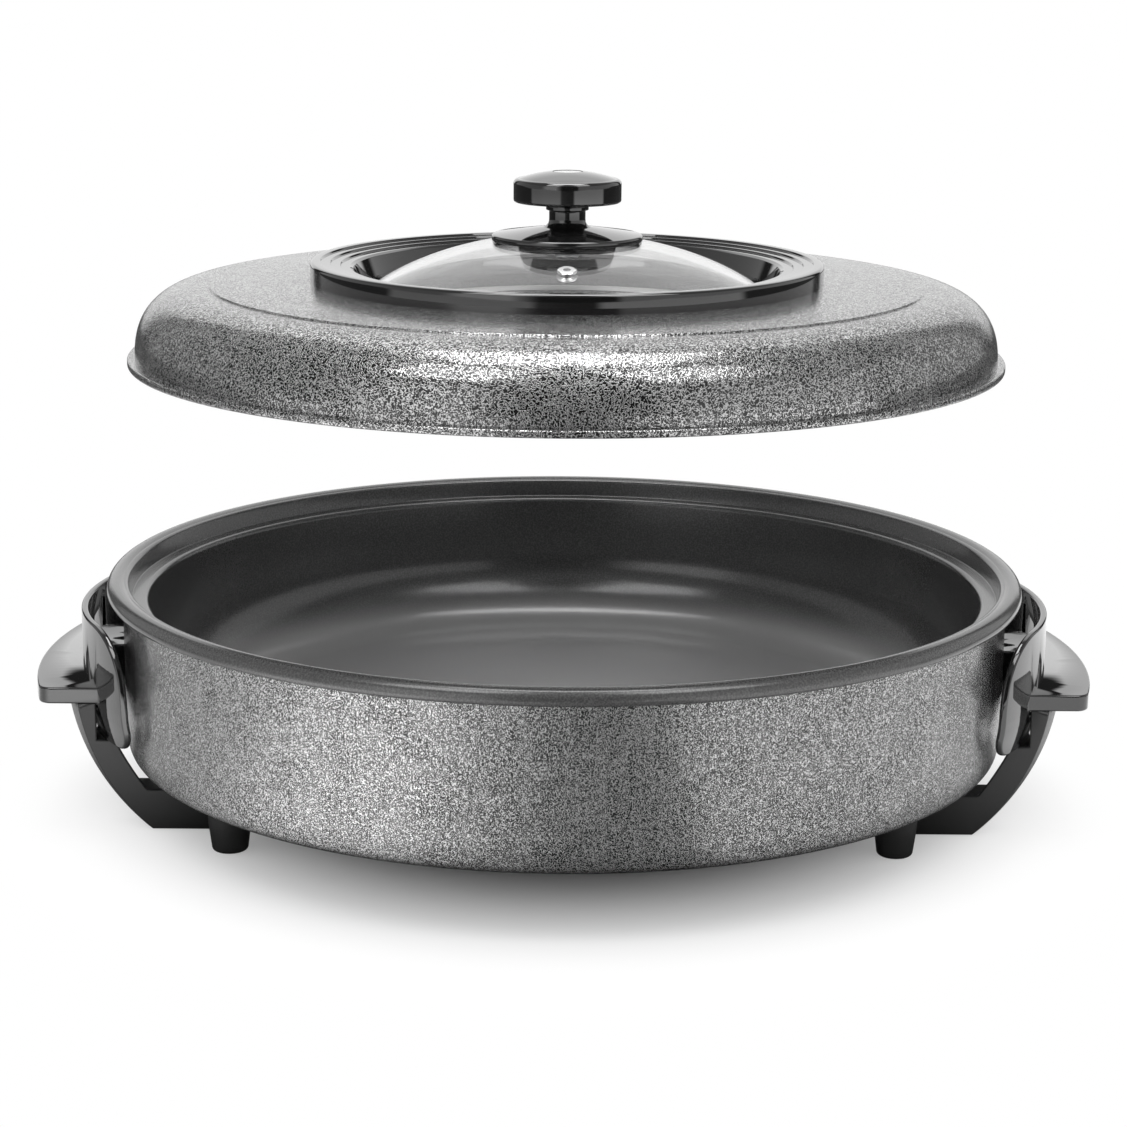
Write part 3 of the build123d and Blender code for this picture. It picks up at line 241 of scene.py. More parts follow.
@dataclass(frozen=True)
class Finish:
    """A finish, which makes its material once."""

    slot: str

    def surface(self, board: Board) -> Signal:
        """Return the shader; each kind of finish has its own."""
        raise NotImplementedError

    def material(self) -> bpy.types.Material:
        """Make the finish's material, or find it where it is made already.

        Returns:
            The material.
        """
        title = "finish_" + self.slot
        found = bpy.data.materials.get(title)
        if found is None:
            found = bpy.data.materials.new(title)
            found.use_nodes = True
            board = Board(found.node_tree)
            board.node("ShaderNodeOutputMaterial", {}, {"Surface": self.surface(board)})
        return found


@dataclass(frozen=True)
class HammeredEnamel(Finish):
    """Hammer-effect paint: light metallic worms that wind over a dark ground."""

    winding: float = 0.8 * MM
    relief: float = 0.06 * MM
    ridge_width: float = 0.006
    roughness: float = 0.22
    ridge_polish: float = 0.04
    light: float = 0.62
    dark: float = 0.035
    patches: float = 60.0
    patch_share: float = 0.1

    def surface(self, board: Board) -> Signal:
        """Join the nodes of the finish.

        Args:
            board: The tree that they go on.

        Returns:
            The shader.
        """
        at = board.place()
        wave = board.noise(at, 1 / self.winding, detail=1.0, warp=0.2) - 0.5
        ridge = 1.0 - (wave * wave).step(0.0, self.ridge_width)
        patch = board.noise(at, self.patches, detail=1.0).step(0.3, 0.7)
        tint = board.blend(ridge, grey(self.dark), grey(self.light))
        return board.shine(
            {
                "Base Color": board.blend(patch * self.patch_share, tint, grey(self.light)),
                "Metallic": 0.9,
                "Roughness": self.roughness - ridge * self.ridge_polish,
                "Coat Weight": 0.1,
                "Coat Roughness": 0.2,
                "Normal": board.relief(ridge, self.relief),
            }
        )


@dataclass(frozen=True)
class NonStickCoating(Finish):
    """Dark satin coating with a fine sparkle, with painted light that makes the bowl's floor paler.
    """

    level: float = 0.045
    roughness: float = 0.19
    # Share, level and heights of the painted light on the bowl's floor.
    painted_light_share: float = 0.9
    painted_light_level: float = 5.8
    painted_light_below: float = 40 * MM
    painted_light_above: float = 58 * MM

    def surface(self, board: Board) -> Signal:
        """Join the nodes of the finish.

        Args:
            board: The tree that they go on.

        Returns:
            The shader.
        """
        at = board.place()
        grain = board.noise(at, 1300.0, rough=0.6)
        cloud = board.noise(at, 30.0)
        # Painted light: below a height the floor is painted paler than the wall, to stand in for
        # light that falls on it.
        painted_light_mask = 1.0 - at.part("Z").step(self.painted_light_below, self.painted_light_above)
        tint = board.blend(grain.step(0.35, 0.75), grey(self.level * 0.8), grey(self.level * 1.5))
        tint = board.blend(painted_light_mask * self.painted_light_share, tint, grey(self.level * self.painted_light_level))
        return board.shine(
            {
                "Base Color": tint,
                "Roughness": self.roughness + cloud * 0.05 + grain * 0.05,
                "Specular IOR Level": 0.75,
                "Coat Weight": 0.35,
                "Coat Roughness": 0.1,
                "Normal": board.relief(grain, 0.03 * MM, 0.5),
            }
        )


@dataclass(frozen=True)
class MouldedPlastic(Finish):
    """Moulded plastic, from a deep gloss to a fine matt grain."""

    level: float
    roughness: float
    grain: float
    gleam: float = 1.5
    varnish: float = 0.0

    def surface(self, board: Board) -> Signal:
        """Join the nodes of the finish.

        Args:
            board: The tree that they go on.

        Returns:
            The shader.
        """
        at = board.place()
        fine = board.noise(at, 1500.0, rough=0.6)
        flow = board.noise(at, 22.0)
        return board.shine(
            {
                "Base Color": board.blend(flow, grey(self.level * 0.85), grey(self.level * 1.2)),
                "Roughness": self.roughness + (flow - 0.5) * 0.04 + (fine - 0.5) * self.grain,
                "IOR": self.gleam,
                "Coat Weight": self.varnish,
                "Coat Roughness": 0.02,
                "Normal": board.relief(fine, self.grain * 0.12 * MM, 0.6),
            }
        )


@dataclass(frozen=True)
class ClearGlass(Finish):
    """Clear tempered glass that lets light fall through."""

    def surface(self, board: Board) -> Signal:
        """Join the nodes of the finish.

        Args:
            board: The tree that they go on.

        Returns:
            The shader.
        """
        smear = board.noise(board.place(), 60.0)
        pane = board.shine(
            {
                "Base Color": grey(0.96),
                "Roughness": smear.step(0.5, 0.9) * 0.02,
                "IOR": 1.5,
                "Transmission Weight": 1.0,
            }
        )
        clear = board.node("ShaderNodeBsdfTransparent", {}, {"Color": grey(0.9)})
        shadow = board.node("ShaderNodeLightPath", output="Is Shadow Ray")
        return board.layered(shadow, pane, clear)


@dataclass(frozen=True)
class Metal(Finish):
    """Bare metal, polished, drawn or darkened by heat."""

    level: float
    roughness: float
    warmth: float = 0.0
    stain: float = 0.0

    def surface(self, board: Board) -> Signal:
        """Join the nodes of the finish.

        Args:
            board: The tree that they go on.

        Returns:
            The shader.
        """
        at = board.place()
        grain = board.noise(at, 700.0, detail=3.0, rough=0.65)
        cloud = board.noise(at, 28.0, detail=3.0)
        dark, light = grey(self.level * 0.9, self.warmth), grey(self.level * 1.08, self.warmth)
        burnt = grey(self.level * 0.35, self.warmth + 0.08)
        clean = board.blend(grain, dark, light)
        tint = board.blend(cloud.step(0.4, 0.75) * self.stain, clean, burnt)
        return board.shine(
            {
                "Base Color": tint,
                "Metallic": 1.0,
                "Roughness": self.roughness + grain * 0.08 + cloud * 0.04,
                "Normal": board.relief(grain, 0.02 * MM, 0.4),
            }
        )


@dataclass(frozen=True)
class Silicone(Finish):
    """Matt black rubber."""

    def surface(self, board: Board) -> Signal:
        """Join the nodes of the finish.

        Args:
            board: The tree that they go on.

        Returns:
            The shader.
        """
        grain = board.noise(board.place(), 900.0)
        return board.shine(
            {
                "Base Color": board.blend(grain, grey(0.02), grey(0.04)),
                "Roughness": 0.6 + grain * 0.15,
                "Normal": board.relief(grain, 0.02 * MM, 0.4),
            }
        )


class Finishes(Enum):
    """Every finish on the pan."""

    SHELL = HammeredEnamel("hammered_shell")
    LID = HammeredEnamel("hammered_lid", winding=1.1 * MM, relief=0.065 * MM, roughness=0.17)
    NONSTICK = NonStickCoating("nonstick")
    GLOSS = MouldedPlastic(
        "gloss_black", level=0.006, roughness=0.05, grain=0.01, gleam=1.75, varnish=0.5
    )
    SATIN = MouldedPlastic("satin_black", level=0.02, roughness=0.34, grain=0.2)
    FOOT = MouldedPlastic("foot_black", level=0.016, roughness=0.55, grain=0.25)
    WINDOW = ClearGlass("window")
    SILICONE = Silicone("silicone")
    BRIGHT = Metal("bright_metal", level=0.92, roughness=0.16)
    PLATE = Metal("cover_plate", level=0.5, roughness=0.3, stain=0.2)
    SHEATH = Metal("sheath", level=0.34, roughness=0.4, warmth=0.05, stain=0.6)
    FASTENER = Metal("fastener", level=0.6, roughness=0.26)
    CONTACT = Metal("contact", level=0.62, roughness=0.2, warmth=0.12)


class Outline:
    """A closed outline of radius and height in millimetres, drawn corner by corner."""

    # Pieces of a rounded corner, and the share of a side that it may take up, next to
    # another rounded corner and next to a plain one.
    SOFT_STEPS = 6
    SHARED = 0.49
    WHOLE = 0.99

    def __init__(self, lift: float = 0.0) -> None:
        """Start an outline whose heights are counted from lift."""
        self.lift = lift
        self.corners: List[Tuple[float, float, float]] = []

    def to(self, radius: float, height: float, soft: float = 0.0) -> "Outline":
        """Add a corner, rounded by a radius where soft is above 0."""
        self.corners.append((radius, height, soft))
        return self

    def arc(self, centre: Point, size: Point, start: float, end: float, steps: int) -> "Outline":
        """Add points along an arc.

        Args:
            centre: Its middle.
            size: Its radius across and up.
            start: First angle, in degrees from outwards.
            end: Last angle.
            steps: Number of pieces.

        Returns:
            The outline itself.
        """
        for index in range(steps + 1):
            angle = math.radians(start + (end - start) * index / steps)
            self.to(centre[0] + size[0] * math.cos(angle), centre[1] + size[1] * math.sin(angle))
        return self

    def dome(self, centre: float, size: float, start: float, end: float, steps: int) -> "Outline":
        """Add points on a sphere round the axis, at even steps of radius.

        Args:
            centre: Height of its middle.
            size: Its radius.
            start: First distance from the axis.
            end: Last distance.
            steps: Number of pieces.

        Returns:
            The outline itself.
        """
        for index in range(steps + 1):
            radius = start + (end - start) * index / steps
            self.to(radius, centre + math.sqrt(size**2 - radius**2))
        return self

    def _rounded(self, index: int) -> List[Point]:
        """Round one corner.

        Args:
            index: Its number.

        Returns:
            The points that stand for it.
        """
        radius, height, soft = self.corners[index]
        if soft <= 0:
            return [(radius, height)]
        corner = Vector((radius, height))
        sides = (self.corners[index - 1], self.corners[(index + 1) % len(self.corners)])
        arms = [Vector(other[:2]) - corner for other in sides]
        shares = [self.SHARED if other[2] > 0 else self.WHOLE for other in sides]
        half = arms[0].angle(arms[1]) / 2
        rooms = [arm.length * share for arm, share in zip(arms, shares)]
        reach = min(soft / math.tan(half), *rooms)
        first, last = [corner + arm.normalized() * reach for arm in arms]
        inwards = (arms[0].normalized() + arms[1].normalized()).normalized()
        middle = corner + inwards * (reach / math.cos(half))
        start = math.atan2(first.y - middle.y, first.x - middle.x)
        sweep = math.atan2(last.y - middle.y, last.x - middle.x) - start
        sweep = (sweep + math.pi) % math.tau - math.pi
        size = (first - middle).length
        turns = [start + sweep * step / self.SOFT_STEPS for step in range(self.SOFT_STEPS + 1)]
        return [
            (middle.x + size * math.cos(turn), middle.y + size * math.sin(turn)) for turn in turns
        ]

    def mesh(self) -> Mesh:
        """Draw the outline in metres, in the XZ plane.

        Returns:
            A closed row of points.
        """
        drawn = [point for index in range(len(self.corners)) for point in self._rounded(index)]
        drawn.append(drawn[0])
        made = bpy.data.meshes.new("outline")
        points = [(radius * MM, 0.0, (height + self.lift) * MM) for radius, height in drawn]
        made.from_pydata(points, [], [])
        return made


def cleaned(mesh: Mesh) -> Mesh:
    """Merge doubles, point faces outwards and shade smooth.

    Args:
        mesh: The mesh, changed in place.

    Returns:
        The same mesh.
    """
    work = bmesh.new()
    work.from_mesh(mesh)
    bmesh.ops.remove_doubles(work, verts=work.verts, dist=1e-7)
    bmesh.ops.recalc_face_normals(work, faces=work.faces)
    for face in work.faces:
        face.smooth = True
    work.to_mesh(mesh)
    work.free()
    mesh.set_sharp_from_angle(angle=math.radians(CREASE))
    return mesh


def placed(name: str, data: bpy.types.ID) -> bpy.types.Object:
    """Set data in the scene.

    Args:
        name: The new object's name.
        data: Its mesh, lamp or camera.

    Returns:
        The object.
    """
    made = bpy.data.objects.new(name, data)
    bpy.context.scene.collection.objects.link(made)
    return made


def baked(holder: bpy.types.Object) -> Mesh:
    """Bake an object's modifiers.

    Args:
        holder: The object, which is removed.

    Returns:
        The mesh that they make.
    """
    graph = bpy.context.evaluated_depsgraph_get()
    made = bpy.data.meshes.new_from_object(holder.evaluated_get(graph), depsgraph=graph)
    bpy.data.objects.remove(holder)
    return made


class Grower:
    """A Geometry Nodes tree with named inputs, applied to a seed mesh."""

    def __init__(self, title: str, inputs: Dict[str, str]) -> None:
        """Open the tree.

        Args:
            title: The tree's name.
            inputs: Socket type of each named input.
        """
        self.group = bpy.data.node_groups.new(title, "GeometryNodeTree")
        self.board = Board(self.group)
        sockets = self.group.interface
        named = {"Seed Mesh": "NodeSocketGeometry", **inputs, "Material": "NodeSocketMaterial"}
        for name, kind in named.items():
            sockets.new_socket(name, in_out="INPUT", socket_type=kind)
        sockets.new_socket("Geometry", in_out="OUTPUT", socket_type="NodeSocketGeometry")
        self.entry = self.board.node("NodeGroupInput").socket.node

    def given(self, name: str) -> Signal:
        """Return a named input."""
        return Signal(self.board, self.entry.outputs[name])

    def close(self, shape: Signal) -> None:
        """End the tree in real meshes with the material.

        Args:
            shape: What the tree has made.
        """
        board = self.board
        real = board.node("GeometryNodeRealizeInstances", {}, {"Geometry": shape})
        values = {"Geometry": real, "Material": self.given("Material")}
        coated = board.node("GeometryNodeSetMaterial", {}, values)
        board.node("NodeGroupOutput", {}, {"Geometry": coated})

    def grow(self, seed: Mesh, finish: Finishes, values: Dict[str, object]) -> Mesh:
        """Apply the tree.

        Args:
            seed: The mesh that it starts from.
            finish: The finish of the result.
            values: Values of the named inputs.

        Returns:
            A plain mesh with outward faces.
        """
        holder = placed("seed", seed)
        modifier = holder.modifiers.new("grow", "NODES")
        modifier.node_group = self.group
        given = {**values, "Material": finish.value.material()}
        for item in self.group.interface.items_tree:
            if item.in_out == "INPUT" and item.name in given:
                modifier[item.identifier] = given[item.name]
        return cleaned(baked(holder))


def turning_tree() -> Grower:
    """Join the tree that turns an outline about the upright axis.

    Returns:
        The tree.
    """
    grower = Grower("turned_piece", {"Segments": "NodeSocketInt"})
    board = grower.board
    outline = grower.given("Seed Mesh")
    across = grower.given("Segments") + 1.0
    kind, settings = "GeometryNodeAttributeDomainSize", {"component": "MESH"}
    count = board.node(kind, settings, {"Geometry": outline}, "Point Count")
    grid = board.node("GeometryNodeMeshGrid", {}, {"Vertices X": count, "Vertices Y": across})
    index = board.node("GeometryNodeInputIndex")
    # The small addition keeps a whole quotient from being rounded down.
    row = (index / across + 0.0001).floored()
    turn = (index - row * across) / grower.given("Segments") * math.tau
    source = {"Geometry": outline, "Value": board.node("GeometryNodeInputPosition"), "Index": row}
    settings = {"data_type": "FLOAT_VECTOR", "domain": "POINT"}
    point = board.node("GeometryNodeSampleIndex", settings, source)
    radius, height = point.part("X"), point.part("Z")
    place = {"X": radius * turn.cosine(), "Y": radius * turn.sine(), "Z": height}
    moved = board.node("ShaderNodeCombineXYZ", {}, place)
    shape = board.node("GeometryNodeSetPosition", {}, {"Geometry": grid, "Position": moved})
    merged = board.node("GeometryNodeMergeByDistance", {}, {"Geometry": shape, "Distance": 1e-6})
    grower.close(merged)
    return grower


def stamping_tree() -> Grower:
    """Join the tree that sets screws on points, each with a cross recess cut from below.

    Returns:
        The tree.
    """
    sizes = {"Recess " + side: "NodeSocketFloat" for side in ("Length", "Width", "Floor")}
    inputs = {"Pattern": "NodeSocketObject", "Seed": "NodeSocketInt", **sizes}
    grower = Grower("stamped_screws", inputs)
    board = grower.board
    screw = {"Object": grower.given("Pattern")}
    pattern = board.node("GeometryNodeObjectInfo", {}, screw, "Geometry")
    length, width, level = [grower.given(name) for name in sizes]
    depth = 10 * MM
    drop = board.node("ShaderNodeCombineXYZ", {}, {"Z": level - depth / 2})
    for across, along in ((length, width), (width, length)):
        size = board.node("ShaderNodeCombineXYZ", {}, {"X": across, "Y": along, "Z": depth})
        cube = board.node("GeometryNodeMeshCube", {}, {"Size": size})
        cut = board.node("GeometryNodeTransform", {}, {"Geometry": cube, "Translation": drop})
        settings = {"operation": "DIFFERENCE", "solver": "EXACT"}
        pattern = board.node("GeometryNodeMeshBoolean", settings, {0: pattern, 1: cut})
    chance = {"Min": 0.0, "Max": math.pi, "Seed": grower.given("Seed")}
    spin = board.node("FunctionNodeRandomValue", {"data_type": "FLOAT"}, chance, "Value")
    angle = board.node("ShaderNodeCombineXYZ", {}, {"Z": spin})
    places = {"Points": grower.given("Seed Mesh"), "Instance": pattern, "Rotation": angle}
    grower.close(board.node("GeometryNodeInstanceOnPoints", {}, places))
    return grower


TURNING = turning_tree()
STAMPING = stamping_tree()


def turned(outline: Outline, finish: Finishes, facets: int = FACETS) -> Mesh:
    """Return an outline turned about the upright axis."""
    return TURNING.grow(outline.mesh(), finish, {"Segments": facets})


def settle(name: str, mesh: Mesh, body: Body, finish: Finishes, replaced: Sequence[str]) -> None:
    """Set a finished piece on its body.

    Args:
        name: The piece's name.
        mesh: Its mesh, in place.
        body: The body that it rides on.
        finish: Its finish.
        replaced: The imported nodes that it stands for.
    """
    piece = placed(name, mesh)
    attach(piece, body.value)
    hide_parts(*replaced)
    LOG.info("made %s with %d faces in %s", name, len(mesh.polygons), finish.value.slot)


def dress(finish: Finishes, *names: str) -> None:
    """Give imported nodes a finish.

    Args:
        finish: The finish.
        names: The nodes.
    """
    for name in names:
        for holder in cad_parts[name].material_slots:
            holder.material = finish.value.material()
        LOG.info("dressed %s in %s", name, finish.value.slot)


def faired(body: Body, finish: Finishes, *names: str) -> None:
    """Set merged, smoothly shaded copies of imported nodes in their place.

    Args:
        body: The body that they ride on.
        finish: Their finish.
        names: The nodes.
    """
    for name in names:
        copy = cleaned(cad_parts[name].data.copy())
        copy.materials.clear()
        copy.materials.append(finish.value.material())
        holder = placed("faired", copy)
        holder.modifiers.new("flats", "WEIGHTED_NORMAL").keep_sharp = True
        settle(name + "_faired", baked(holder), body, finish, [name])


def block(low: Place, high: Place) -> bpy.types.Object:
    """Make a box to cut with.

    Args:
        low: Its lowest corner, in millimetres.
        high: The opposite corner.

    Returns:
        The box.
    """
    middle = Matrix.Translation([(first + last) / 2 * MM for first, last in zip(low, high)])
    size = Matrix.Diagonal([(last - first) * MM for first, last in zip(low, high)] + [1.0])
    work = bmesh.new()
    bmesh.ops.create_cube(work, size=1.0, matrix=middle @ size)
    mesh = bpy.data.meshes.new("block")
    work.to_mesh(mesh)
    work.free()
    return placed("block", mesh)


def carved(mesh: Mesh, boxes: Sequence[Box]) -> Mesh:
    """Cut boxes out of a mesh.

    Args:
        mesh: The mesh.
        boxes: The lowest and the opposite corner of each, in millimetres.

    Returns:
        What is left.
    """
    holder = placed("carved", mesh)
    cutters = [block(*box) for box in boxes]
    for cutter in cutters:
        modifier = holder.modifiers.new("cut", "BOOLEAN")
        modifier.object = cutter
        modifier.solver = "EXACT"
    made = baked(holder)
    for cutter in cutters:
        bpy.data.objects.remove(cutter)
    return cleaned(made)


@dataclass(frozen=True)
class Screws:
    """A set of screws put in from below; lengths in millimetres, the rest in shares of them."""

    node: str
    body: Body
    seat: float
    shank_r: float
    places: Tuple[Point, ...]
    head_h: float = 2.6
    head_share: float = 1.9
    crown_share: float = 0.6
    side_share: float = 0.55
    recess_length: float = 2.1
    recess_width: float = 0.5
    recess_depth: float = 0.5
    seed: int = 7

    def outline(self) -> Outline:
        """Draw one screw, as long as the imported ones.

        Returns:
            Its section.
        """
        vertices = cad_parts[self.node].data.vertices
        top = max(vertex.co.z for vertex in vertices) / MM - self.seat
        head_r = self.shank_r * self.head_share
        drawn = Outline().to(0, -self.head_h).to(head_r * self.crown_share, -self.head_h, 0.3)
        drawn.to(head_r, -self.head_h * self.side_share, 0.5).to(head_r, 0, 0.15)
        return drawn.to(self.shank_r, 0).to(self.shank_r, top).to(0, top)

    def build(self) -> None:
        """Make the screws."""
        screw = turned(self.outline(), Finishes.FASTENER, FACETS_SCREW)
        pattern = bpy.data.objects.new("screw", screw)
        points = bpy.data.meshes.new("places")
        points.from_pydata([(x * MM, y * MM, self.seat * MM) for x, y in self.places], [], [])
        values = {
            "Pattern": pattern,
            "Seed": self.seed,
            "Recess Length": self.shank_r * self.recess_length * MM,
            "Recess Width": self.shank_r * self.recess_width * MM,
            "Recess Floor": -self.head_h * self.recess_depth * MM,
        }
        mesh = STAMPING.grow(points, Finishes.FASTENER, values)
        bpy.data.objects.remove(pattern)
        settle(self.node + "_stamped", mesh, self.body, Finishes.FASTENER, [self.node])


def ring(radius: float, count: int, start: float) -> Tuple[Point, ...]:
    """Return places spaced evenly on a circle, the first at a bearing in degrees."""
    turns = [math.radians(start + 360 * index / count) for index in range(count)]
    return tuple((radius * math.cos(turn), radius * math.sin(turn)) for turn in turns)


@dataclass(frozen=True)
class CookingBowl:
    """The bowl with its rolled rim; lengths in millimetres, heights above the worktop."""

    floor_z: float = 39.5
    floor_t: float = 4.0
    bend_r: float = 35.0
    bend_steps: int = 24
    wall_r: float = 188.7
    wall_t: float = 3.0
    boss_r: float = 9.0
    boss_z: float = 24.2
    ledge_r: float = 193.5
    ledge_end_r: float = 198.7
    ledge_z: float = 101.2
    ledge_t: float = 3.0
    ledge_bend: float = 2.4
    under_r: float = 194.1
    rim_foot: Point = (200.0, 108.0)
    skirt: Point = (201.5, 103.2)
    # Middle, radius, first and last angle and number of pieces of each arc of the rolled rim.
    rim: Tuple[Tuple[Point, float, float, float, int], ...] = (
        ((202.2, 107.137), 2.363, 158.6, 90.0, 6),
        ((205.02, 105.4), 4.978, 124.5, 0.0, 14),
        ((207.57, 105.4), 2.43, 0.0, -64.9, 6),
    )

    def outline(self) -> Outline:
        """Draw the bowl.

        Returns:
            Its section.
        """
        bend = (self.wall_r - self.bend_r, self.floor_z + self.bend_r)
        outer = (self.bend_r + self.wall_t, self.bend_r + self.floor_t)
        corner = (self.ledge_r, self.ledge_z - self.ledge_bend)
        under_z, low_z = self.ledge_z - self.ledge_t, self.floor_z - self.floor_t
        drawn = Outline().to(0, self.floor_z)
        drawn.arc(bend, (self.bend_r, self.bend_r), -90, 0, self.bend_steps)
        drawn.to(self.ledge_r - self.ledge_bend, corner[1])
        drawn.arc(corner, (self.ledge_bend, self.ledge_bend), 180, 90, 6)
        drawn.to(self.ledge_end_r, self.ledge_z, 0.5).to(*self.rim_foot)
        for middle, size, start, end, steps in self.rim:
            drawn.arc(middle, (size, size), start, end, steps)
        drawn.to(*self.skirt).to(self.skirt[0], under_z).to(self.under_r, under_z)
        drawn.arc(bend, outer, 0, -90, self.bend_steps)
        return drawn.to(self.boss_r, low_z).to(self.boss_r, self.boss_z).to(0, self.boss_z)

    def build(self) -> None:
        """Make the bowl."""
        mesh = turned(self.outline(), Finishes.NONSTICK, FACETS_WIDE)
        settle("cooking_bowl_turned", mesh, Body.BASE, Finishes.NONSTICK, ["cooking_bowl"])


@dataclass(frozen=True)
class OuterShell:
    """The hammered wall, drawn in at its foot; in millimetres, heights above the worktop."""

    radius: float = 203.0
    thickness: float = 1.2
    top_z: float = 103.2
    foot_z: float = 30.5
    curve_r: float = 36.0
    curve_h: float = 12.0
    curve_share: float = 0.68
    curve_steps: int = 14
    heel_r: float = 5.0
    opening_r: float = 146.0
    edge_r: float = 0.5
    inlet_cut: Box = ((-31.3, 179.7, 29.5), (31.3, 205.0, 43.3))
    guide_cut: Box = ((-20.3, 73.0, 29.5), (20.3, 180.0, 35.5))

    def outline(self) -> Outline:
        """Draw the wall.

        Returns:
            Its section.
        """
        middle = (self.radius - self.curve_r, self.foot_z + self.curve_h)
        inner_r, inner_z = self.curve_r - self.thickness, self.foot_z + self.thickness
        end = math.asin(self.curve_h / self.curve_r)
        inner_end = math.asin((self.curve_h - self.thickness) / inner_r)
        low, inner_low = [-math.degrees(angle) * self.curve_share for angle in (end, inner_end)]
        drawn = Outline().to(self.radius, self.top_z)
        drawn.arc(middle, (self.curve_r, self.curve_r), 0, low, self.curve_steps)
        drawn.to(middle[0] + self.curve_r * math.cos(end), self.foot_z, self.heel_r)
        drawn.to(self.opening_r, self.foot_z, self.edge_r).to(self.opening_r, inner_z, self.edge_r)
        drawn.to(middle[0] + inner_r * math.cos(inner_end), inner_z, self.heel_r - self.thickness)
        drawn.arc(middle, (inner_r, inner_r), inner_low, 0, self.curve_steps)
        return drawn.to(self.radius - self.thickness, self.top_z)

    def build(self) -> None:
        """Make the wall and cut the openings for the inlet and the probe guide."""
        whole = turned(self.outline(), Finishes.SHELL, FACETS_WIDE)
        mesh = carved(whole, (self.inlet_cut, self.guide_cut))
        settle("outer_shell_turned", mesh, Body.BASE, Finishes.SHELL, ["outer_shell"])


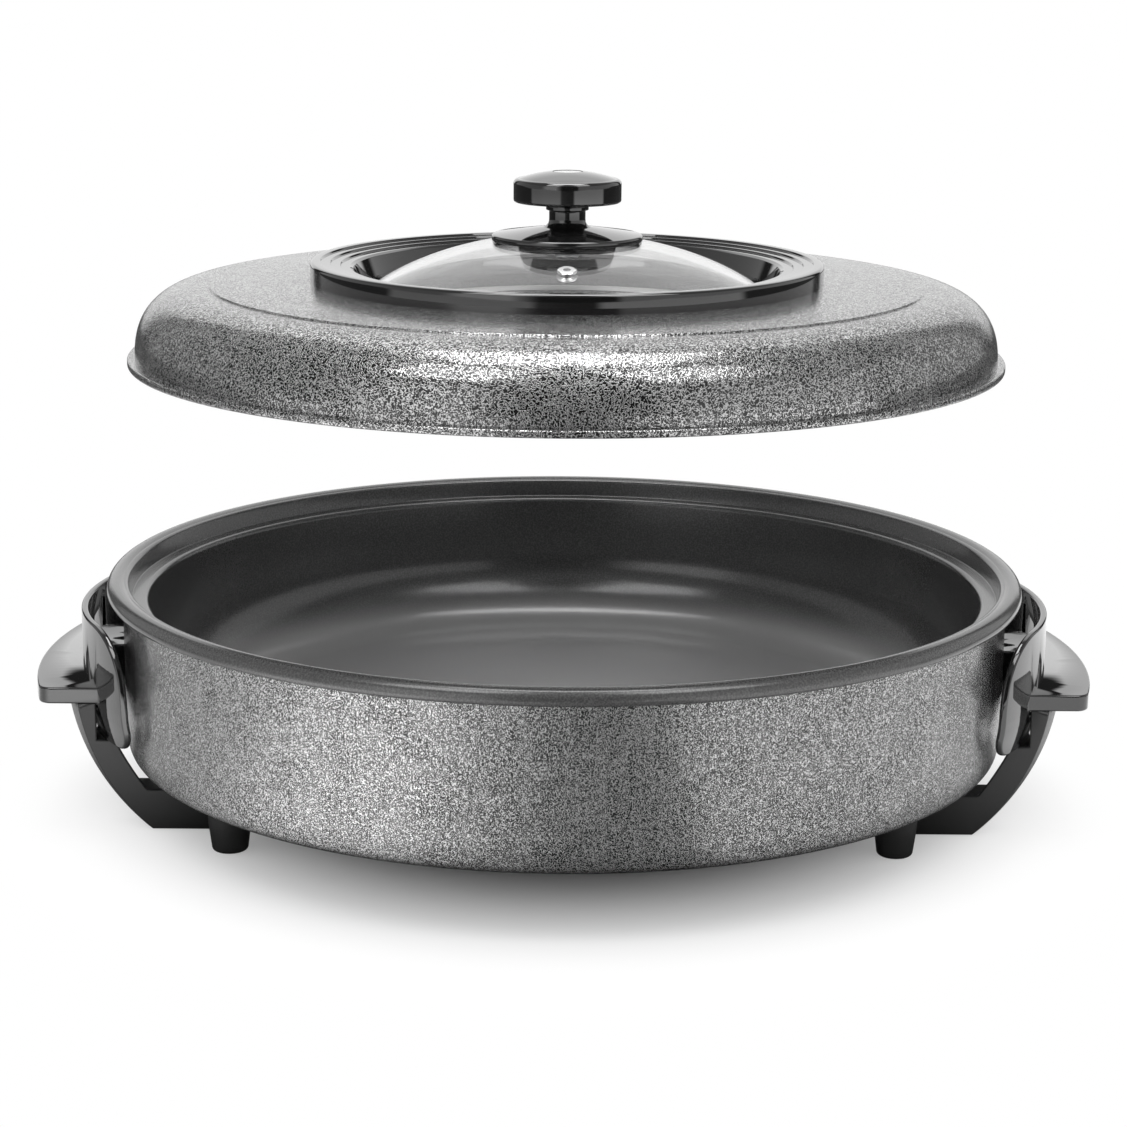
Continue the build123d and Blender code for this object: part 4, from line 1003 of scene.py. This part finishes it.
@dataclass(frozen=True)
class Lid:
    """The domed lid; heights in millimetres above the underside of its hem."""

    lift: float = LID_LIFT
    hem_in_r: float = 193.5
    hem_r: float = 197.9
    hem_low: float = 0.05
    hem_h: float = 3.2
    hem_soft: float = 0.9
    flat_r: float = 161.2
    reach: float = 33.3
    rise: float = 31.0
    power: float = 2.45
    curve_steps: int = 36
    wall: float = 1.0
    step_r: float = 160.5
    step_z: float = 34.9
    deck_r: float = 118.0
    deck_z: float = 36.4
    opening_r: float = 103.3
    bezel_r: float = 116.0
    bezel_z: float = 44.8
    bezel_soft: float = 1.6
    bezel_in_r: float = 103.0
    lip_r: float = 111.4
    tread_r: float = 110.95
    tread_z: float = 43.9
    tread_width: float = 4.05
    tread_pitch: float = 4.5
    tread_drop: float = 0.9
    treads: int = 3
    funnel_top: Point = (96.5, 41.2)
    funnel_foot: Point = (93.2, 32.95)
    glass_t: float = 4.0
    glass_r: float = 98.0
    glass_hole_r: float = 4.0
    glass_steps: int = 24
    retainer_soft: float = 0.3
    retainer_corners: Tuple[Point, ...] = (
        (94.0, 20.09),
        (94.0, 22.49),
        (100.3, 22.49),
        (100.3, 32.65),
        (103.3, 32.65),
        (103.3, 35.4),
        (114.0, 35.4),
        (114.0, 33.0),
        (105.7, 33.0),
        (102.7, 20.09),
    )
    screws: int = 6
    screw_bearing: float = 30.0
    screw_ring_r: float = 109.5
    screw_seat: float = 33.0
    screw_r: float = 1.5

    def curve(self, drawn: Outline, inset: float, downwards: bool) -> None:
        """Add the dome's side.

        Args:
            drawn: The outline that it is added to.
            inset: Distance in from the outer face.
            downwards: Whether it runs down to the hem.
        """
        for index in range(self.curve_steps + 1):
            share = index / self.curve_steps
            angle = (1 - share if downwards else share) * math.pi / 2
            across = (self.reach - inset) * math.cos(angle) ** (2 / self.power)
            up = (self.rise - inset) * math.sin(angle) ** (2 / self.power)
            drawn.to(self.flat_r + across, self.hem_h + up)

    def outline(self) -> Outline:
        """Draw the dome.

        Returns:
            Its section.
        """
        drawn = Outline(self.lift).to(self.hem_in_r, self.hem_low)
        drawn.to(self.hem_r, self.hem_low, self.hem_soft).to(self.hem_r, self.hem_h, self.hem_soft)
        self.curve(drawn, 0, False)
        drawn.to(self.step_r, self.step_z, 0.4)
        drawn.to(self.deck_r, self.deck_z).to(self.opening_r, self.deck_z)
        under = self.deck_z - self.wall
        drawn.to(self.opening_r, under).to(self.deck_r, under)
        drawn.to(self.step_r, self.step_z - self.wall)
        self.curve(drawn, self.wall, True)
        return drawn

    def bezel(self) -> Outline:
        """Draw the stepped ring round the window.

        Returns:
            Its section.
        """
        drawn = Outline(self.lift).to(self.bezel_r, self.deck_z)
        drawn.to(self.bezel_r, self.bezel_z, self.bezel_soft).to(self.lip_r, self.bezel_z, 0.3)
        for index in range(self.treads):
            radius = self.tread_r - self.tread_pitch * index
            height = self.tread_z - self.tread_drop * index
            drawn.to(radius, height, 0.25).to(radius - self.tread_width, height, 0.3)
        drawn.to(*self.funnel_top, 0.3).to(*self.funnel_foot)
        return drawn.to(self.bezel_in_r, self.funnel_foot[1]).to(self.bezel_in_r, self.deck_z)

    def window(self) -> Outline:
        """Draw the glass, a shell of a sphere.

        Returns:
            Its section.
        """
        drawn = Outline(self.lift)
        drawn.dome(GLASS_Z, GLASS_R, self.glass_hole_r, self.glass_r, self.glass_steps)
        inner_r = GLASS_R - self.glass_t
        return drawn.dome(GLASS_Z, inner_r, self.glass_r, self.glass_hole_r, self.glass_steps)

    def retainer(self) -> Outline:
        """Draw the ring that clamps the glass from below.

        Returns:
            Its section.
        """
        drawn = Outline(self.lift)
        for corner in self.retainer_corners:
            drawn.to(*corner, self.retainer_soft)
        return drawn

    def build(self) -> None:
        """Make the dome, the ring, the window and the clamp, and dress what is fitted to them."""
        pieces = (
            ("lid_dome", self.outline(), Finishes.LID),
            ("bezel_ring", self.bezel(), Finishes.GLOSS),
            ("glass_window", self.window(), Finishes.WINDOW),
            ("retaining_ring", self.retainer(), Finishes.PLATE),
        )
        for name, drawn, finish in pieces:
            settle(name + "_turned", turned(drawn, finish, FACETS_WIDE), Body.LID, finish, [name])
        faired(Body.LID, Finishes.SILICONE, "glass_gasket")
        faired(Body.LID, Finishes.BRIGHT, "vent_grommet")
        places = ring(self.screw_ring_r, self.screws, self.screw_bearing)
        Screws("bezel_screws", Body.LID, self.lift + self.screw_seat, self.screw_r, places).build()


@dataclass(frozen=True)
class Knob:
    """The flared base, the mushroom cap and its disc; heights as for the lid."""

    lift: float = LID_LIFT
    foot_r: float = 34.1
    foot_low: float = 53.62
    foot_top: float = 56.4
    foot_gap: float = 0.3
    neck: Point = (11.4, 59.705)
    flare: Point = (11.825, 63.305)
    flare_r: float = 3.625
    stem_r: float = 8.2
    collar_r: float = 9.6
    collar_low: float = 67.2
    collar_top: float = 69.8
    collar_slope: float = 0.3
    tenon_r: float = 6.0
    tenon_top: float = 74.905
    cap_r: float = 24.3
    cap_low: float = 70.905
    cap_side: float = 79.325
    cap_edge: float = 2.132
    cap_top: float = 83.105
    crown_r: float = 67.2
    crown_z: float = 17.8
    recess_r: float = 6.75
    socket_r: float = 6.3
    socket_top: float = 75.2
    disc_r: float = 6.6
    disc_top: float = 84.505

    def base(self) -> Outline:
        """Draw the flared base.

        Returns:
            Its section.
        """
        drawn = Outline(self.lift).to(self.foot_r, self.foot_low, 0.3)
        drawn.to(self.foot_r, self.foot_top, 1.1).to(*self.neck)
        drawn.arc(self.flare, (self.flare_r, self.flare_r), 263.3, 180, 10)
        low, top = self.collar_low + self.collar_slope, self.collar_top - self.collar_slope
        drawn.to(self.stem_r, self.collar_low, 0.3).to(self.collar_r, low, 0.4)
        drawn.to(self.collar_r, top, 0.4).to(self.stem_r, self.collar_top, 0.3)
        drawn.to(self.stem_r, self.cap_low, 0.2).to(self.tenon_r, self.cap_low)
        drawn.to(self.tenon_r, self.tenon_top).to(0, self.tenon_top)
        drawn.dome(GLASS_Z, GLASS_R + self.foot_gap, 0, self.foot_r, 12)
        # The last point is the foot's corner, where the outline began.
        drawn.corners.pop()
        return drawn

    def cap(self) -> Outline:
        """Draw the cap.

        Returns:
            Its section.
        """
        drawn = Outline(self.lift).to(0, self.socket_top).to(self.socket_r, self.socket_top)
        drawn.to(self.socket_r, self.cap_low).to(self.cap_r, self.cap_low, 1.2)
        edge = (self.cap_r - self.cap_edge, self.cap_side)
        drawn.to(self.cap_r, self.cap_side).arc(edge, (self.cap_edge, self.cap_edge), 0, 102.7, 10)
        drawn.arc((0, self.crown_z), (self.crown_r, self.crown_r), 71.2, 84.2, 12)
        return drawn.to(self.recess_r, self.cap_top).to(0, self.cap_top)

    def disc(self) -> Outline:
        """Return the section of the bright disc in the cap."""
        drawn = Outline(self.lift).to(0, self.cap_top).to(self.disc_r, self.cap_top, 0.1)
        return drawn.to(self.disc_r, self.disc_top, 0.45).to(0, self.disc_top)

    def build(self) -> None:
        """Make the three turned pieces and dress what holds them."""
        pieces = (
            ("knob_base", self.base(), Finishes.GLOSS),
            ("knob_cap", self.cap(), Finishes.GLOSS),
            ("knob_disc", self.disc(), Finishes.BRIGHT),
        )
        for name, drawn, finish in pieces:
            settle(name + "_turned", turned(drawn, finish), Body.LID, finish, [name])
        faired(Body.LID, Finishes.SILICONE, "knob_upper_washer", "knob_lower_washer")
        faired(Body.LID, Finishes.GLOSS, "knob_lower_disc")
        dress(Finishes.FASTENER, "knob_bolt")


@dataclass(frozen=True)
class Handles:
    """The heat shields with their grips, the leg brackets under them and their screws."""

    leg_screw_x: float = 168.0
    leg_screw_y: float = 51.0
    leg_screw_seat: float = 12.5
    leg_screw_r: float = 1.9

    def build(self) -> None:
        """Make and dress the pieces of both sides."""
        faired(Body.BASE, Finishes.GLOSS, "handle_left", "handle_right")
        faired(Body.BASE, Finishes.SATIN, "leg_bracket_left", "leg_bracket_right")
        dress(Finishes.FASTENER, "handle_screws", "leg_top_screws")
        sides = (-self.leg_screw_x, self.leg_screw_x)
        places = tuple((x, y) for x in sides for y in (-self.leg_screw_y, self.leg_screw_y))
        Screws("leg_screws", Body.BASE, self.leg_screw_seat, self.leg_screw_r, places).build()


@dataclass(frozen=True)
class Feet:
    """The four feet with their screws and nuts."""

    reach: float = 170.0
    bearing: float = 30.0
    seat: float = 15.0
    screw_r: float = 2.0

    def build(self) -> None:
        """Make and dress the pieces."""
        feet = ("foot_front_left", "foot_front_right", "foot_rear_left", "foot_rear_right")
        faired(Body.BASE, Finishes.FOOT, *feet)
        dress(Finishes.FASTENER, "foot_nuts")
        turn = math.radians(self.bearing)
        east, north = self.reach * math.cos(turn), self.reach * math.sin(turn)
        places = ((east, north), (-east, north), (-east, -north), (east, -north))
        Screws("foot_screws", Body.BASE, self.seat, self.screw_r, places).build()


@dataclass(frozen=True)
class Heater:
    """The element, the inlet with its probe guide and pins, and the cover below them."""

    inlet_screw_x: float = 36.0
    inlet_screw_y: float = 186.0
    inlet_screw_seat: float = 27.5
    inlet_screw_r: float = 1.5

    def build(self) -> None:
        """Make and dress the pieces."""
        faired(Body.BASE, Finishes.SHEATH, "heating_element")
        faired(Body.BASE, Finishes.PLATE, "bottom_cover", "probe_guide", "element_clips")
        faired(Body.BASE, Finishes.CONTACT, "contact_pins", "earth_clip")
        faired(Body.BASE, Finishes.SATIN, "inlet_housing")
        dress(Finishes.FASTENER, "centre_stud", "centre_nut", "clip_screws")
        places = tuple((x, self.inlet_screw_y) for x in (-self.inlet_screw_x, self.inlet_screw_x))
        Screws("inlet_screws", Body.BASE, self.inlet_screw_seat, self.inlet_screw_r, places).build()


@dataclass(frozen=True)
class RoomLevels:
    """How bright the room is round the pan, by bearing from the front in degrees."""

    plain: float = 0.06
    key: float = 0.8
    key_at: float = -34.0
    key_half: float = 10.0
    key_edge: float = 30.0
    sides: float = 0.6
    sides_at: float = 82.0
    sides_half: float = 56.0
    sides_edge: float = 6.0
    left: float = 0.65
    rear: float = 1.0
    rear_from: float = 150.0
    rear_full: float = 156.0

    def rear_level(self, bearing: Signal) -> Signal:
        """Return the level of the bright wall behind the pan."""
        left_half = 1.0 - bearing.step(-self.rear_full, -self.rear_from)
        return (bearing.step(self.rear_from, self.rear_full) + left_half) * self.rear

    def level(self, bearing: Signal) -> Signal:
        """Work out the level in front and beside the pan.

        Args:
            bearing: A direction's angle from the front.

        Returns:
            The level there.
        """
        key = bearing.bump(self.key_at, self.key_half, self.key_edge) * self.key
        right_side = bearing.bump(self.sides_at, self.sides_half, self.sides_edge)
        left_side = bearing.bump(-self.sides_at, self.sides_half, self.sides_edge) * self.left
        return key + (right_side + left_side) * self.sides + self.plain


@dataclass(frozen=True)
class Floor:
    """The pale floor, which keeps the pan's shadow, fades to white and is clear from below; in
    reflections it shows painted light and shade.
    """

    half: float = 6.0
    drop: float = 0.0002
    level: float = 0.86
    shade_from: float = 0.1
    shade_to: float = 0.275
    near: float = 0.8
    far: float = 1.2
    # Painted shadow in reflections: the floor is fully dark within the first radius and whole again
    # beyond the second.
    painted_shadow_to: float = 0.16
    painted_shadow_gone: float = 0.3
    # Levels of the painted reflections in the floor, near the pan and far off: light bands stand in
    # for lamps, dark ones for shade.
    close: RoomLevels = RoomLevels(plain=0.14)
    distant: RoomLevels = RoomLevels(key=0.1, sides=0.9, sides_at=48.0, sides_half=31.0)

    def material(self) -> bpy.types.Material:
        """Make the floor's material.

        Returns:
            The material.
        """
        made = bpy.data.materials.new("stage_floor")
        made.use_nodes = True
        board = Board(made.node_tree)
        at = board.place()
        east, north = at.part("X"), at.part("Y")
        away = (east * east + north * north) ** 0.5
        # Painted reflections: seen in reflections, the floor's colour is painted lighter and darker
        # by bearing, to stand in for lamps and dark shade.
        bearing = east.bearing(north * -1.0)
        close, distant = self.close.level(bearing), self.distant.level(bearing)
        painted_reflection = close + (distant - close) * away.step(self.near, self.far)
        # Painted shadow: reflections of the floor close to the pan are painted darker.
        painted_reflection = painted_reflection * away.step(self.painted_shadow_to, self.painted_shadow_gone)
        mirrored = board.node("ShaderNodeLightPath", output="Is Glossy Ray")
        tint = board.blend(mirrored, grey(self.level), painted_reflection)
        matt = board.node("ShaderNodeBsdfDiffuse", {}, {"Color": tint})
        white = board.node("ShaderNodeEmission", {}, {"Color": grey(1.0), "Strength": 1.0})
        straight = board.node("ShaderNodeLightPath", output="Is Camera Ray")
        top = board.layered(straight * away.step(self.shade_from, self.shade_to), matt, white)
        clear = board.node("ShaderNodeBsdfTransparent", {}, {"Color": grey(1.0)})
        below = board.node("ShaderNodeNewGeometry", output="Backfacing")
        board.node("ShaderNodeOutputMaterial", {}, {"Surface": board.layered(below, top, clear)})
        return made

    def build(self) -> None:
        """Make the floor."""
        mesh = bpy.data.meshes.new("floor")
        signs = ((-1, -1), (1, -1), (1, 1), (-1, 1))
        corners = [(x * self.half, y * self.half, -self.drop) for x, y in signs]
        mesh.from_pydata(corners, [], [range(len(corners))])
        mesh.materials.append(self.material())
        floor = placed("floor", mesh)


@dataclass(frozen=True)
class Softbox:
    """A square lamp that faces the pan."""

    name: str
    bearing: float
    height: float
    distance: float
    size: float
    energy: float
    aim: Place = (0.0, 0.0, 0.12)

    def build(self) -> None:
        """Make the lamp, placed by its bearing from the front and its height, both in degrees."""
        data = bpy.data.lights.new(self.name, "AREA")
        data.shape = "SQUARE"
        data.size = self.size
        data.energy = self.energy
        turn, rise = math.radians(self.bearing), math.radians(self.height)
        level = math.cos(rise)
        away = Vector((math.sin(turn) * level, -math.cos(turn) * level, math.sin(rise)))
        facing = away.to_track_quat("Z", "Y").to_matrix().to_4x4()
        lamp = placed(self.name, data)
        lamp.matrix_world = Matrix.Translation(Vector(self.aim) + away * self.distance) @ facing


@dataclass(frozen=True)
class Studio:
    """Soft light from above, from both sides of the front and from all round."""

    room: RoomLevels = RoomLevels(plain=0.02, key_edge=14.0)
    crown: float = 0.25
    crown_from: float = 0.45
    crown_full: float = 0.6
    wall_to: float = 0.75
    wall_gone: float = 0.85
    lamps: Tuple[Softbox, ...] = (
        Softbox("overhead", bearing=180.0, height=84.0, distance=1.8, size=1.0, energy=19.0),
        Softbox("left", bearing=-38.0, height=57.0, distance=1.7, size=0.7, energy=5.5),
        Softbox("right", bearing=42.0, height=57.0, distance=1.7, size=0.7, energy=5.0),
    )

    def sky(self) -> None:
        """Make the room: white to the camera, uneven in reflections."""
        world = bpy.data.worlds.new("room")
        bpy.context.scene.world = world
        world.use_nodes = True
        board = Board(world.node_tree)
        toward = board.node("ShaderNodeTexCoord", output="Generated")
        up = toward.part("Z")
        bearing = toward.part("X").bearing(toward.part("Y") * -1.0)
        crown = up.step(self.crown_from, self.crown_full)
        wall = self.room.rear_level(bearing) * (1.0 - up.step(self.wall_to, self.wall_gone))
        level = self.room.level(bearing) * (1.0 - crown) + crown * self.crown + wall
        mirrored = board.node("ShaderNodeLightPath", output="Is Glossy Ray")
        shown = level * mirrored + (1.0 - mirrored)
        light = board.node("ShaderNodeBackground", {}, {"Color": grey(1.0), "Strength": shown})
        board.node("ShaderNodeOutputWorld", {}, {"Surface": light})

    def build(self) -> None:
        """Make the floor, the lamps and the room."""
        Floor().build()
        for lamp in self.lamps:
            lamp.build()
        self.sky()


@dataclass(frozen=True)
class Viewpoint:
    """Where the photograph was taken from: metres, degrees, and millimetres of lens and film."""

    place: Place = (-0.0005, -1.2278, 0.4043)
    pitch: float = 13.43
    roll: float = 0.45
    lens: float = 86.8
    film: float = 36.0

    def build(self) -> None:
        """Make the camera."""
        data = bpy.data.cameras.new("camera")
        data.sensor_width = self.film
        data.lens = self.lens
        camera = placed("camera", data)
        tilt = Matrix.Rotation(math.radians(90 - self.pitch), 4, "X")
        turn = tilt @ Matrix.Rotation(math.radians(self.roll), 4, "Z")
        camera.matrix_world = Matrix.Translation(self.place) @ turn
        bpy.context.scene.camera = camera


def main() -> None:
    """Dress the pan, add its detailed pieces and set the studio."""
    bpy.context.scene.view_settings.view_transform = "Standard"
    for part in (CookingBowl(), OuterShell(), Handles(), Feet(), Heater(), Lid(), Knob()):
        part.build()
    Studio().build()
    Viewpoint().build()
    LOG.info("pan set in its studio")


if __name__ == "__main__":
    logging.basicConfig(level=logging.INFO)
    main()
